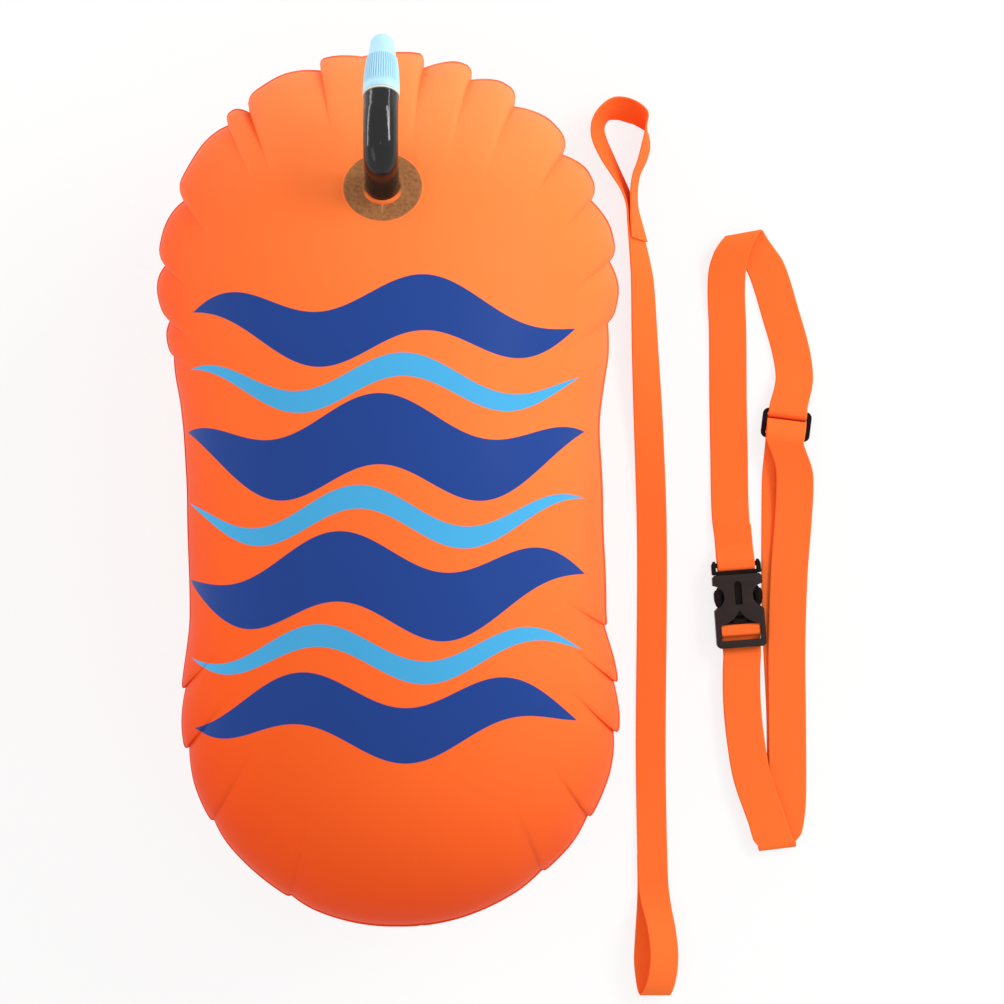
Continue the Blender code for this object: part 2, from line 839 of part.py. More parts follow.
def stem_seal(head, material):
    centre_radius = body_stem_radius - ring_groove_depth + gap + seal_ring_radius
    centre_height = body_groove_height + ring_groove_width / 2
    profile = [
        (
            centre_radius + seal_ring_radius * math.cos(math.radians(-angle)),
            centre_height + seal_ring_radius * math.sin(math.radians(-angle)),
        )
        for angle in range(0, 360, seal_section_step)
    ]
    made = turned("stem_seal_ring", profile, seal_sides, material)
    place_frame(made, head)
    smooth(made, seal_smooth_angle)
    return made


def sealing_plug(head, material):
    """Soft cap on the nose, whose cone meets the throat of the mouthpiece."""
    bottom = body_stem_height + gap
    top = bottom + plug_height + overrun
    hole = nose_radius + gap
    profile = [
        (0, top),
        (plug_tip_radius, top),
        (plug_radius, top - plug_cone),
        (plug_radius, bottom + plug_height / 2),
        (plug_radius - plug_cone / 2, bottom + plug_height / 3),
        (plug_radius - plug_cone / 2, bottom),
        (hole, bottom),
        (hole, nose_height + gap),
        (0, nose_height + gap),
    ]
    made = turned("sealing_plug", profile, seal_sides, material)
    place_frame(made, head)
    smooth(made)
    return made


def slip_ring(head, material):
    """Ring that rides up the stem under the mouthpiece without turning."""
    bore = body_stem_radius + gap
    rim_bore = body_flange_radius + gap
    shelf = body_flange_height + 2 * gap
    rim_top = gap + slip_rim_height
    profile = [
        (bore, gap + slip_rim_height + slip_hub_height),
        (slip_hub_radius, gap + slip_rim_height + slip_hub_height),
        (slip_hub_radius, rim_top),
        (slip_rim_radius, rim_top),
        (slip_rim_radius, gap),
        (rim_bore, gap),
        (rim_bore, shelf),
        (bore, shelf),
    ]
    made = turned("slip_ring", profile, slip_ring_sides, material)
    place_frame(made, head)
    smooth(made)
    return made


def mouthpiece(head, material):
    """Light mouthpiece: smooth band, ribbed grip and tapered lip, with the throat that the plug closes."""
    bottom = 2 * gap + slip_rim_height
    hub_top = 2 * gap + slip_rim_height + slip_hub_height
    band_top = bottom + mouthpiece_band
    grip_top = band_top + mouthpiece_grip
    bore = body_stem_radius + 2 * gap
    hub_bore = slip_hub_radius + gap
    plug_top = body_stem_height + gap + plug_height + overrun
    throat_low = plug_top - plug_cone + gap
    chamber = plug_radius + 4 * gap + plug_cone / 2
    profile = [
        (mouth_bore, mouthpiece_length),
        (tip_radius, mouthpiece_length),
        (lip_top_radius, mouthpiece_length - tip_round),
        (lip_radius, grip_top + tip_round),
        (lip_radius, grip_top),
        (grip_top_radius, grip_top - tip_round / 2),
        (band_radius, band_top),
        (band_radius, bottom),
        (hub_bore, bottom),
        (hub_bore, hub_top),
        (bore, hub_top),
        (bore, body_stem_height + gap),
        (chamber, body_stem_height + plug_cone),
        (chamber, throat_low),
        (throat_radius, throat_low + throat_cone),
        (mouth_bore, throat_low + throat_cone + tip_round),
    ]
    made = turned("mouthpiece", profile, mouthpiece_turns, material)
    freeze(made)
    for corner in made.data.vertices:
        number = round(math.atan2(corner.co.y, corner.co.x) / (2 * math.pi) * mouthpiece_turns)
        out = math.hypot(corner.co.x, corner.co.y)
        on_grip = band_top - gap < corner.co.z < grip_top - gap and out > bore + skirt_wall
        if on_grip and number % 2:
            corner.co.x *= 1 - grip_groove / out
            corner.co.y *= 1 - grip_groove / out
    place_frame(made, head)
    smooth(made)
    return made


# Webbing


def sample_route(rows, spans):
    """Stations on a smooth curve through the route's rows, a number of steps for each span."""
    stations = []
    last = len(rows) - 1
    for number in range(last):
        before = Vector(rows[max(0, number - 1)])
        start = Vector(rows[number])
        end = Vector(rows[number + 1])
        after = Vector(rows[min(last, number + 2)])
        out_slope = (end - before) / 2
        in_slope = (after - start) / 2
        reach = (end - start).length
        out_slope *= min(1.0, reach / max(out_slope.length, gap))
        in_slope *= min(1.0, reach / max(in_slope.length, gap))
        for step in range(spans):
            t = step / spans
            stations.append(
                start * (2 * t**3 - 3 * t**2 + 1)
                + out_slope * (t**3 - 2 * t**2 + t)
                + end * (-2 * t**3 + 3 * t**2)
                + in_slope * (t**3 - t**2)
            )
    stations.append(Vector(rows[-1]))
    return stations


def thinned(stations):
    """Leaves out the stations that a straight piece of webbing passes within a small tolerance."""
    kept = [stations[0]]
    for (place, across), (next_place, next_across) in zip(stations[1:], stations[2:]):
        last_place, last_across = kept[-1]
        along = next_place - last_place
        share = (place - last_place).dot(along) / along.length_squared
        off_line = (place - last_place - along * share).length
        off_turn = (across - last_across.lerp(next_across, share)).length
        if off_line > station_tolerance or off_turn > station_turn or along.length > longest_span:
            kept.append((place, across))
    return kept + [stations[-1]]


def webbing(name, stations, width, thickness, material):
    """A strip drawn through stations of (place, across), then given its thickness."""
    stations = thinned(stations)
    work = bmesh.new()
    place, across = stations[0]
    first = [work.verts.new(place + across * width / 2), work.verts.new(place - across * width / 2)]
    edge = work.edges.new(first)
    for place, across in stations[1:]:
        pulled = bmesh.ops.extrude_edge_only(work, edges=[edge])["geom"]
        ends = only(pulled, bmesh.types.BMVert)
        edge = next(item for item in only(pulled, bmesh.types.BMEdge) if set(item.verts) == set(ends))
        ends.sort(key=lambda corner: (corner.co - first[0].co).length)
        ends[0].co = place + across * width / 2
        ends[1].co = place - across * width / 2
        first = ends
    made = put_object(name, mesh_from(work, name), material)
    skin = made.modifiers.new("thickness", "SOLIDIFY")
    skin.thickness = thickness
    skin.offset = 0
    return made


def leash_stations():
    """The leash's stations: a row's lift is counted from where the lower edge touches the floor."""
    rows = []
    for x, y, lift, lean_x, lean_y in leash_route:
        upright = math.sqrt(max(0.0, 1 - lean_x * lean_x - lean_y * lean_y))
        z = lift + upright * leash_width / 2 + math.hypot(lean_x, lean_y) * leash_thickness / 2
        rows.append((x, y, z, lean_x, lean_y, upright))
    return stations_through(rows, leash_segments)


def stations_through(rows, spans):
    """Stations of (place, across) through rows of six numbers: a place and the way across the strap."""
    places = sample_route([row[:3] for row in rows], spans)
    ways = sample_route([row[3:] for row in rows], spans)
    return [(place, way.normalized()) for place, way in zip(places, ways)]


def in_frame(frame, places):
    """Rows of (along, height) across a buckle or adjuster, as rows of the belt's route."""
    across = frame.to_3x3() @ Vector((-1, 0, 0))
    rows = []
    for along, height in places:
        place = frame @ Vector((0, along, height))
        rows.append((*place, across.x, across.y))
    return rows


def fold_rows(low_layer, count):
    """The turn over at the belt's lower end, from the layer on the floor side to the one on the upper side."""
    middle_height = (layer_two + layer_three) / 2
    stack = middle_height - low_layer
    middle = Matrix.Translation((belt_fold_x, belt_fold_y, middle_height))
    frame = middle @ Matrix.Rotation(belt_fold_turn, 4, "Z")
    angles = [math.radians(-90 + 180 * n / (count - 1)) for n in range(count)]
    bulge = stack * belt_fold_bulge_share
    return in_frame(frame, [(-bulge * math.cos(a), stack * math.sin(a)) for a in angles])


def belt_stations(buckle, adjuster):
    """The whole belt in one strip, from the end sewn round the plug's bar to the end sewn on the adjuster."""
    half = belt_thickness / 2
    bar_wrap = plug_bar_radius + gap + half
    tail_far = plug_bar_y + belt_tail_length
    floor = layer_one - buckle_height
    turn = [(plug_bar_y + bar_wrap * along, bar_wrap * height) for along, height in plug_wrap_shares]
    tail = [(tail_far, floor), (tail_far - belt_tail_bend, floor)]
    plug_rows = in_frame(buckle, [*tail, *turn, (tail_far - belt_tail_bend, floor + belt_pitch)])
    lower_route = [(-along, height) for along, height in reversed(adjuster_upper_route)]
    weave = in_frame(adjuster, [*adjuster_upper_route, (0, adjuster_under_height), *lower_route])
    sewn = in_frame(adjuster, adjuster_sewn_route)
    sewn_tail = [
        (x, y, z - belt_pitch, lean_x, lean_y) for x, y, z, lean_x, lean_y in belt_front_strand[-1:-3:-1]
    ]
    bar_low = inner_bar_y - inner_bar_width / 2
    bar_high = inner_bar_y + inner_bar_width / 2
    layer_b = inner_bar_bottom + half
    layer_a = inner_bar_bottom - gap - half - gap
    rim = socket_end + rim_width / 2
    socket_rows = in_frame(
        buckle,
        [
            (socket_end - rim_width, layer_four - buckle_height + gap),
            (rim, layer_b),
            (bar_low - belt_pitch, layer_b + belt_thickness),
            (bar_low, inner_bar_top + gap + half),
            (inner_bar_y, inner_bar_top + 2 * gap + half),
            (bar_high, inner_bar_top + gap + half),
            (bar_high + gap + half, 0),
            (bar_high, layer_a + gap),
            (inner_bar_y, layer_a),
            (rim, layer_a),
            (socket_end - rim_width, layer_three - buckle_height),
        ],
    )
    rows = [
        *plug_rows,
        *belt_left_strand,
        *weave,
        *belt_rear_strand,
        *fold_rows(layer_one, outer_fold_rows),
        *belt_top_left_strand,
        *socket_rows,
        *belt_low_left_strand,
        *reversed(fold_rows(layer_two, inner_fold_rows)),
        *belt_front_strand,
        *sewn,
        *sewn_tail,
    ]
    return stations_through([(*row, 0) for row in rows], belt_segments)


def tow_loop(frame, material):
    """A short loop of webbing whose two feet are sewn on the patch."""
    foot = patch_thickness + 2 * gap + tow_web_thickness / 2
    rows = [(tow_loop_half_length * along, foot + tow_loop_stand * rise) for along, rise in tow_loop_shares]
    rows += [(-along, height) for along, height in reversed(rows[:-1])]
    across = (frame.to_3x3() @ Vector((1, 0, 0))).normalized()
    places = sample_route([frame @ Vector((0, along, height)) for along, height in rows], tow_loop_segments)
    stations = [(place, across) for place in places]
    return webbing("tow_loop", stations, tow_web_width, tow_web_thickness, material)


# Buckle and adjuster


def buckle_socket(frame, material):
    """Socket of the buckle: two plates over a channel, thumb notches, an inner bar and an outer rim."""
    neck = thumb_notch_y + thumb_notch_radius
    notch_x = socket_half_width + thumb_notch_out
    outline = [
        (socket_half_width - plate_thickness, socket_mouth),
        (socket_half_width, socket_mouth - plate_thickness),
        (socket_half_width, neck),
    ]
    outline += arc(
        notch_x, thumb_notch_y, thumb_notch_radius, thumb_notch_start, thumb_notch_end, thumb_notch_bends
    )
    outline += [(socket_half_width, body_shoulder - socket_corner / 2)]
    outline += arc(
        socket_half_width - socket_corner, socket_end + socket_corner, socket_corner, 0, -90, corner_bends
    )
    made = flat_outline(
        "buckle_socket", mirrored(outline), -buckle_half_thickness, buckle_half_thickness, material
    )
    inside = buckle_half_thickness - plate_thickness
    wide = socket_half_width + overrun
    inner_wall = socket_half_width - mouth_wall
    channel = plug_guide_half_width + gap
    rail = channel + guide_rail
    mouth_bottom = socket_mouth - mouth_depth
    cuts = [
        ("mouth", (-inner_wall, mouth_bottom - overrun, -inside), (inner_wall, socket_mouth + overrun, inside)),
        ("left_bay", (-wide, body_shoulder, -inside), (-rail, mouth_bottom, inside)),
        ("right_bay", (rail, body_shoulder, -inside), (wide, mouth_bottom, inside)),
        ("left_chamber", (-inner_wall, chamber_end, -inside), (-rail, body_shoulder + overrun, inside)),
        ("right_chamber", (rail, chamber_end, -inside), (inner_wall, body_shoulder + overrun, inside)),
        ("channel", (-channel, plug_guide_end - overrun, -inside), (channel, mouth_bottom + overrun, inside)),
    ]
    for name, low, high in cuts:
        cutter = block("socket_" + name, low, high)
        combine(made, cutter, "DIFFERENCE")
        place_frame(cutter, frame)
    slot_round = guide_slot_top - guide_slot_half_width
    slot = arc(0, slot_round, guide_slot_half_width, 180, 0, guide_slot_bends)
    slot += [(guide_slot_half_width, guide_slot_bottom), (-guide_slot_half_width, guide_slot_bottom)]
    slot_cutter = flat_outline("socket_slot", slot, inside - gap, buckle_half_thickness + overrun)
    side = socket_half_width - side_rail
    vee = [(side * out, vee_apex + (vee_foot - vee_apex) * along) for out, along in vee_shares]
    vee += [(vee[-1][0], vee_foot - overrun)]
    vee_outline = mirrored(vee) + [(0, vee_apex)]
    vee_cutter = flat_outline("socket_vee", vee_outline, inside - gap, buckle_half_thickness + overrun)
    window = block(
        "socket_window",
        (-side, socket_end + rim_width, -buckle_half_thickness - overrun),
        (side, vee_foot, buckle_half_thickness + overrun),
    )
    under = block(
        "socket_under_rim",
        (-side, socket_end - overrun, -buckle_half_thickness - overrun),
        (side, socket_end + rim_width + overrun, rim_underside),
    )
    bar = block(
        "socket_bar",
        (-side - side_rail / 2, inner_bar_y - inner_bar_width / 2, inner_bar_bottom),
        (side + side_rail / 2, inner_bar_y + inner_bar_width / 2, inner_bar_top),
    )
    round_edges(bar, inner_bar_rounding, 2)
    for cutter in (slot_cutter, vee_cutter, window, under):
        place_frame(cutter, frame)
        combine(made, cutter, "DIFFERENCE")
    place_frame(bar, frame)
    combine(made, bar, "UNION")
    place_frame(made, frame)
    return made


def buckle_plug(frame, material):
    """Plug of the buckle: ears and bar for the webbing, the web in the socket's mouth, and the centre guide."""
    inside = buckle_half_thickness - plate_thickness - gap
    inner_wall = socket_half_width - mouth_wall - gap
    ear_bottom = socket_mouth + gap
    web = [
        (plug_guide_half_width, plug_web_bottom),
        (inner_wall, plug_web_bottom),
        (inner_wall, ear_bottom),
        (socket_half_width - plug_ear_width / 2, ear_bottom),
        (socket_half_width - plug_ear_width / 2, plug_web_top),
    ]
    guide = [
        (plug_guide_tip_half_width, plug_guide_end),
        (plug_guide_half_width, plug_guide_end + plug_guide_half_width),
    ]
    made = flat_outline("buckle_plug", mirrored(guide + web), -inside, inside, material)
    for side, name in ((-1, "left"), (1, "right")):
        inner = side * (socket_half_width - plug_ear_width)
        outer = side * socket_half_width
        ear_outline = [
            (inner, ear_bottom),
            (outer, ear_bottom),
            (outer, plug_end - plug_ear_width),
            (outer - side * plug_ear_outer_corner, plug_end),
            (inner + side * plug_ear_inner_corner, plug_end),
            (inner, plug_end - plug_ear_inner_drop),
        ]
        ear_half_thickness = inside + plate_thickness / 2
        ear = flat_outline("plug_ear_" + name, ear_outline, -ear_half_thickness, ear_half_thickness)
        round_edges(ear, plug_ear_rounding, 1)
        place_frame(ear, frame)
        combine(made, ear, "UNION")
    reach = socket_half_width - plug_ear_width / 2
    bar = cylinder("plug_bar", plug_bar_radius, -reach, reach, "X", (0, plug_bar_y, 0), plug_bar_sides)
    place_frame(bar, frame)
    combine(made, bar, "UNION")
    place_frame(made, frame)
    return made


def buckle_arm(frame, side, name, material):
    """A springy side arm: a beam, a thumb pad that locks under the socket's mouth, and a tip."""
    inside = buckle_half_thickness - plate_thickness - gap
    lock = socket_half_width - mouth_wall + arm_shoulder_out
    lock_y = socket_mouth - mouth_depth - overrun - gap
    root = arm_root_y - gap
    inner = arm_root_x - arm_beam / 2
    tip_out = socket_half_width - mouth_wall - gap
    right = [
        (inner, root),
        (inner + arm_beam, root),
        (inner + arm_beam + arm_flare, lock_y),
        (lock, lock_y - gap),
        (arm_pad_out, arm_flat_top),
        (arm_pad_out, arm_flat_bottom),
        (lock, body_shoulder + arm_beam),
        (tip_out, body_shoulder),
        (tip_out, arm_tip_y + arm_beam),
        (tip_out - arm_beam, arm_tip_y),
        (tip_out - arm_tip_width, arm_tip_y + arm_tip_rise),
        (inner + arm_waist, body_shoulder),
        (inner + arm_belly, arm_pad_y),
        (inner, lock_y),
    ]
    hinge = Vector((side * arm_root_x, arm_root_y, 0))
    made = flat_outline(name, [(side * x - hinge.x, y - hinge.y) for x, y in right], -inside, inside, material)
    pad_outline = [
        (arm_pad_out - arm_beam * inward, arm_pad_y + arm_pad_half_length * along)
        for inward, along in arm_pad_shares
    ]
    pad = flat_outline(
        name + "_pad",
        [(side * x - hinge.x, y - hinge.y) for x, y in pad_outline],
        -arm_pad_half_thickness,
        arm_pad_half_thickness,
    )
    hinged = frame @ Matrix.Translation(hinge)
    place_frame(pad, hinged)
    combine(made, pad, "UNION")
    place_frame(made, hinged)
    return made


def strap_adjuster(frame, material):
    """Three-bar adjuster: a rounded frame with two slots and a centre bar between them."""
    corner = adjuster_corner
    outline = arc(adjuster_half_width - corner, adjuster_half_length - corner, corner, 90, 0, corner_bends)
    outline += arc(adjuster_half_width - corner, -adjuster_half_length + corner, corner, 0, -90, corner_bends)
    made = flat_outline(
        "strap_adjuster", mirrored(outline), -adjuster_half_thickness, adjuster_half_thickness, material
    )
    slot_half_width = adjuster_half_width - adjuster_side
    for name, low, high in (
        ("upper", adjuster_centre_bar / 2, adjuster_half_length - adjuster_bar),
        ("lower", -adjuster_half_length + adjuster_bar, -adjuster_centre_bar / 2),
    ):
        cutter = block(
            "adjuster_slot_" + name,
            (-slot_half_width, low, -adjuster_half_thickness - overrun),
            (slot_half_width, high, adjuster_half_thickness + overrun),
        )
        place_frame(cutter, frame)
        combine(made, cutter, "DIFFERENCE")
    round_edges(made, adjuster_rounding, 1)
    place_frame(made, frame)
    return made


# Build
clear_scene()
parts = new_collection("open_water_swim_buoy")
guides = new_collection("guides")

film_orange = new_material("film_orange", (0.95, 0.17, 0.03), 0.38)
tube_black = new_material("tube_black", (0.012, 0.012, 0.014), 0.12)
body_cream = new_material("body_cream", (0.74, 0.72, 0.60), 0.40)
seal_black = new_material("seal_black", (0.02, 0.02, 0.02), 0.60)
light_blue = new_material("light_blue", (0.30, 0.62, 0.80), 0.35)
web_orange = new_material("web_orange", (0.95, 0.16, 0.025), 0.80)
buckle_black = new_material("buckle_black", (0.035, 0.028, 0.028), 0.35)

front_panel = panel("front_panel", front, film_orange)
back_panel = panel("back_panel", back, film_orange)
valve_seat = seat_frame(valve_place, front)
tow_seat = seat_frame(tow_place, back)
weld_seat(front_panel, "valve_seat", valve_seat, flange_radius + seat_rim + 2 * gap, tube_radius + gap)
weld_seat(back_panel, "tow_seat", tow_seat, patch_radius + seat_rim)
smooth(front_panel, film_smooth_angle)
smooth(back_panel, film_smooth_angle)

tube, valve_head = valve_tube(valve_seat, tube_black)
valve_body(valve_head, body_cream)
stem_seal(valve_head, seal_black)
sealing_plug(valve_head, seal_black)
slip_ring(valve_head, body_cream)
mouthpiece(valve_head, light_blue)

patch_top = gap + patch_thickness
patch_profile = [(0, patch_top), (patch_radius, patch_top), (patch_radius, gap), (0, gap)]
tow_patch = turned("tow_patch", patch_profile, patch_sides, film_orange)
place_frame(tow_patch, tow_seat)
tow_loop(tow_seat, web_orange)

webbing("leash_strap", leash_stations(), leash_width, leash_thickness, web_orange)

buckle_frame = Matrix.Translation((buckle_x, buckle_y, buckle_height)) @ Matrix.Rotation(buckle_turn, 4, "Z")
adjuster_frame = Matrix.Translation((adjuster_x, adjuster_y, adjuster_height)) @ Matrix.Rotation(
    adjuster_turn, 4, "Z"
)
webbing("belt_strap", belt_stations(buckle_frame, adjuster_frame), belt_width, belt_thickness, web_orange)
buckle_socket(buckle_frame, buckle_black)
buckle_plug(buckle_frame, buckle_black)
buckle_arm(buckle_frame, -1, "buckle_arm_left", buckle_black)
buckle_arm(buckle_frame, 1, "buckle_arm_right", buckle_black)
strap_adjuster(adjuster_frame, buckle_black)
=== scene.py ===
"""Open water swim buoy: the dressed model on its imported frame, with a plain stage."""

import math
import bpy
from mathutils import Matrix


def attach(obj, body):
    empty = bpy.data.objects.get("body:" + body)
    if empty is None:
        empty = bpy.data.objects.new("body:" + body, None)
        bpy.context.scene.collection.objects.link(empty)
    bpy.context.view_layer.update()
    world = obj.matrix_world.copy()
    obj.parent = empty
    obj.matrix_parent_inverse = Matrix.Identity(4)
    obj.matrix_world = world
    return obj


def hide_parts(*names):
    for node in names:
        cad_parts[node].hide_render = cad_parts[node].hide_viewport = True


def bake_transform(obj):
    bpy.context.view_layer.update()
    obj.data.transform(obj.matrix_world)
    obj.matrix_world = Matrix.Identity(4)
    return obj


bl_info = {
    "name": "Open Water Swim Buoy",
    "version": (1, 0, 0),
    "blender": (4, 5, 0),
    "location": "3D View > Sidebar > Swim Buoy",
    "description": "Makes an inflated swim buoy with its valve, leash, belt and buckle",
    "category": "Object",
}

import bmesh
import bpy
from bpy.props import FloatProperty, FloatVectorProperty, IntProperty, PointerProperty
from mathutils import Matrix, Vector, noise

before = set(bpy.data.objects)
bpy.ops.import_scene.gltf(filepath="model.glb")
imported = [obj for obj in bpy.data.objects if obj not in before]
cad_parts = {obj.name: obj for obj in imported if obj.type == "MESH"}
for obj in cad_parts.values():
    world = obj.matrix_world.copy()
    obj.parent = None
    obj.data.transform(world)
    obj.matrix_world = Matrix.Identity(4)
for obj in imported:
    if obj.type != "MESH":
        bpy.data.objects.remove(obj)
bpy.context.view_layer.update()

GAP = 0.0003
FRONT = 1
BACK = -1

# Bag outline, shared with the solid
TOP_ROUND_START = 0.115
LOW_ROUND_START = -0.120
TOP_BULGE = (0.030, 0.122)
LOW_BULGE = (-0.075, -0.130)
END_FALL_POWER = 2.2
END_ROOT_POWER = 0.62
REST_FLAT_DEPTH = 0.0050

# Notches of the weld: share of the turn from +X, and depth as a share of the deepest
NOTCHES = (
    (0.0635, 0.55),
    (0.0898, 0.70),
    (0.1190, 0.80),
    (0.1455, 1.00),
    (0.1800, 1.00),
    (0.2059, 0.85),
    (0.2308, 0.95),
    (0.2600, 0.30),
    (0.2820, 0.75),
    (0.3253, 1.00),
    (0.3386, 0.60),
    (0.3806, 0.90),
    (0.4117, 0.75),
    (0.4356, 0.60),
    (0.4503, 0.35),
    (0.5764, 0.42),
    (0.6025, 0.45),
    (0.6380, 0.25),
    (0.6920, 0.20),
    (0.7600, 0.04),
    (0.8300, 0.20),
    (0.8640, 0.30),
    (0.9046, 0.50),
    (0.9260, 0.50),
    (0.9490, 0.30),
)

# Form of a lobe, from notch to notch
LOBE_SAMPLES = 48
WAIST_LOBE_LENGTH = 0.095
SHALLOW_REACH_SHARE = 0.45
RIGHT_SHOULDER_SHARE = 0.6
LEFT_SHOULDER_SHARE = 0.7
CURL_SHARE = 0.22
RIGHT_RISE_POWER = 1.4
LEFT_RISE_POWER = 2.0
DRAWN_FROM_SHARE = 0.74

# Where the film is pressed flat under the valve and the tow patch
PRESS_REACH = 0.02
PRESS_MARGIN = 0.0028
PRESS_DEPTH = 0.0004
RIPPLE_RATE = 34
RIPPLE_DEPTH = 0.00035
FLOOR_SOFTNESS = 0.0000008

# How the bag lies: place along Y, how far it leans to the right there, and how much fuller each side is
LIE = (
    (-0.285, 0.0062, 0.0030),
    (-0.200, 0.0074, 0.0076),
    (-0.165, 0.0078, 0.0062),
    (-0.120, 0.0076, 0.0030),
    (-0.070, 0.0062, 0.0020),
    (-0.010, 0.0044, 0.0016),
    (0.050, 0.0018, 0.0016),
    (0.100, 0.0004, 0.0022),
    (0.135, -0.0004, 0.0064),
    (0.200, -0.0008, 0.0072),
    (0.285, -0.0022, 0.0066),
)
FULLER_ALONG = 0.0030

# Valve, shared with the solid
VALVE_PLACE = 0.181
SEAT_SINK = 0.0012
TUBE_RISER = 0.0286
ELBOW_HANDLE = 0.0048
CROWN_FORWARD = 0.0240
CROWN_HEIGHT = 0.0300
CROWN_HANDLE = 0.0083
NECK_HANDLE = 0.0036
NECK_LENGTH = 0.0103
MOUTH_FORWARD = 0.0505
MOUTH_HEIGHT = 0.0229
MOUTH_SLOPE = math.radians(27)
STEM_RADIUS = 0.0063
STEM_HEIGHT = 0.0170
BODY_FLANGE_RADIUS = 0.0089
BODY_FLANGE_HEIGHT = 0.0012
PLUG_RADIUS = 0.0036
PLUG_REACH = 0.0076
PLUG_CONE = 0.0022

# Valve's flange, ring and mouthpiece
FLANGE_THICKNESS = 0.0015
HEAD_RADIUS = 0.0109
BAND_RADIUS = 0.0107
HUB_RADIUS = 0.0094
HUB_HEIGHT = 0.0034
RING_HEIGHT = 0.0012
BAND_HEIGHT = 0.0056
GRIP_LENGTH = 0.0200
GROOVE_DEPTH = 0.00060

# Film over the valve's flange: its collar round the tube and its skirt
FILM_OPENING = 0.018
COLLAR_SQUEEZE = 0.0001
COLLAR_WALL = 0.0016
COLLAR_HEIGHT = 0.0019
SKIRT_MARGIN = 0.0012
SKIRT_DROP = 0.0030
SEAT_ROUND = 0.0004
TURN_STEPS = 96

# Tow point, shared with the solid
TOW_PLACE = 0.196
PATCH_RADIUS = 0.022
PATCH_THICKNESS = 0.0012
TOW_WEB_WIDTH = 0.020
TOW_WEB_THICKNESS = 0.0014
TOW_LOOP_STAND = 0.013
TOW_LOOP_HALF_LENGTH = 0.014
TOW_LOOP_SHARES = ((-1, 0), (-0.62, 0), (-0.56, 0.03), (-0.49, 0.20), (-0.42, 0.50), (-0.30, 0.82), (0, 1))

# Leash route: x, y, lift over the floor, and how far the upper edge leans along x and y
LEASH_ROUTE = (
    (0.1625, 0.1660, 0.0004, -0.56, 0.10),
    (0.1603, 0.1785, 0.0004, -0.42, 0.07),
    (0.1590, 0.1890, 0.0003, -0.28, 0.03),
    (0.1590, 0.1997, 0.0002, -0.26, -0.04),
    (0.1606, 0.2092, 0.0002, -0.28, -0.10),
    (0.1642, 0.2180, 0.0002, -0.33, -0.10),
    (0.1668, 0.2283, 0.0002, -0.30, 0.00),
    (0.1672, 0.2385, 0.0002, -0.10, 0.08),
    (0.1640, 0.2465, 0.0002, 0.35, 0.38),
    (0.1560, 0.2515, 0.0002, 0.16, 0.68),
    (0.1465, 0.2530, 0.0002, -0.08, 0.66),
    (0.1388, 0.2490, 0.0002, -0.34, 0.30),
    (0.1350, 0.2417, 0.0002, -0.44, 0.08),
    (0.1358, 0.2330, 0.0002, -0.50, -0.10),
    (0.1404, 0.2223, 0.0002, -0.42, -0.26),
    (0.1468, 0.2103, 0.0002, -0.34, -0.20),
    (0.1525, 0.1997, 0.0002, -0.28, -0.12),
    (0.1562, 0.1890, 0.0002, -0.28, -0.05),
    (0.1586, 0.1764, 0.0002, -0.42, -0.07),
    (0.1612, 0.1631, 0.0002, -0.58, -0.08),
    (0.1645, 0.1391, 0.0002, -0.77, -0.08),
    (0.1664, 0.0945, 0.0001, -0.90, -0.04),
    (0.1690, 0.0385, 0.0000, -0.985, -0.02),
    (0.1710, -0.0180, 0.0000, -1.00, 0.00),
    (0.1713, -0.0680, 0.0000, -1.00, 0.00),
    (0.1704, -0.1679, 0.0000, -1.00, 0.00),
    (0.1710, -0.2232, 0.0005, -1.00, 0.00),
    (0.1714, -0.2420, 0.0016, -1.00, 0.00),
    (0.1718, -0.2560, 0.0018, -1.00, 0.00),
    (0.1725, -0.2665, 0.0020, -1.00, 0.00),
    (0.1742, -0.2775, 0.0052, -0.99, 0.06),
    (0.1768, -0.2892, 0.0088, -0.96, 0.10),
    (0.1787, -0.3051, 0.0110, -0.94, 0.04),
    (0.1782, -0.3171, 0.0112, -0.96, -0.06),
    (0.1764, -0.3270, 0.0106, -0.99, -0.08),
    (0.1745, -0.3328, 0.0086, -1.00, -0.04),
    (0.1730, -0.3352, 0.0056, -1.00, 0.00),
    (0.1718, -0.3335, 0.0022, -1.00, 0.00),
    (0.1706, -0.3275, 0.0002, -1.00, 0.00),
    (0.1692, -0.3138, 0.0000, -1.00, 0.00),
    (0.1698, -0.2985, 0.0000, -1.00, 0.00),
    (0.1710, -0.2798, 0.0000, -1.00, 0.00),
    (0.1716, -0.2640, 0.0000, -1.00, 0.00),
    (0.1713, -0.2430, 0.0000, -1.00, 0.00),
)

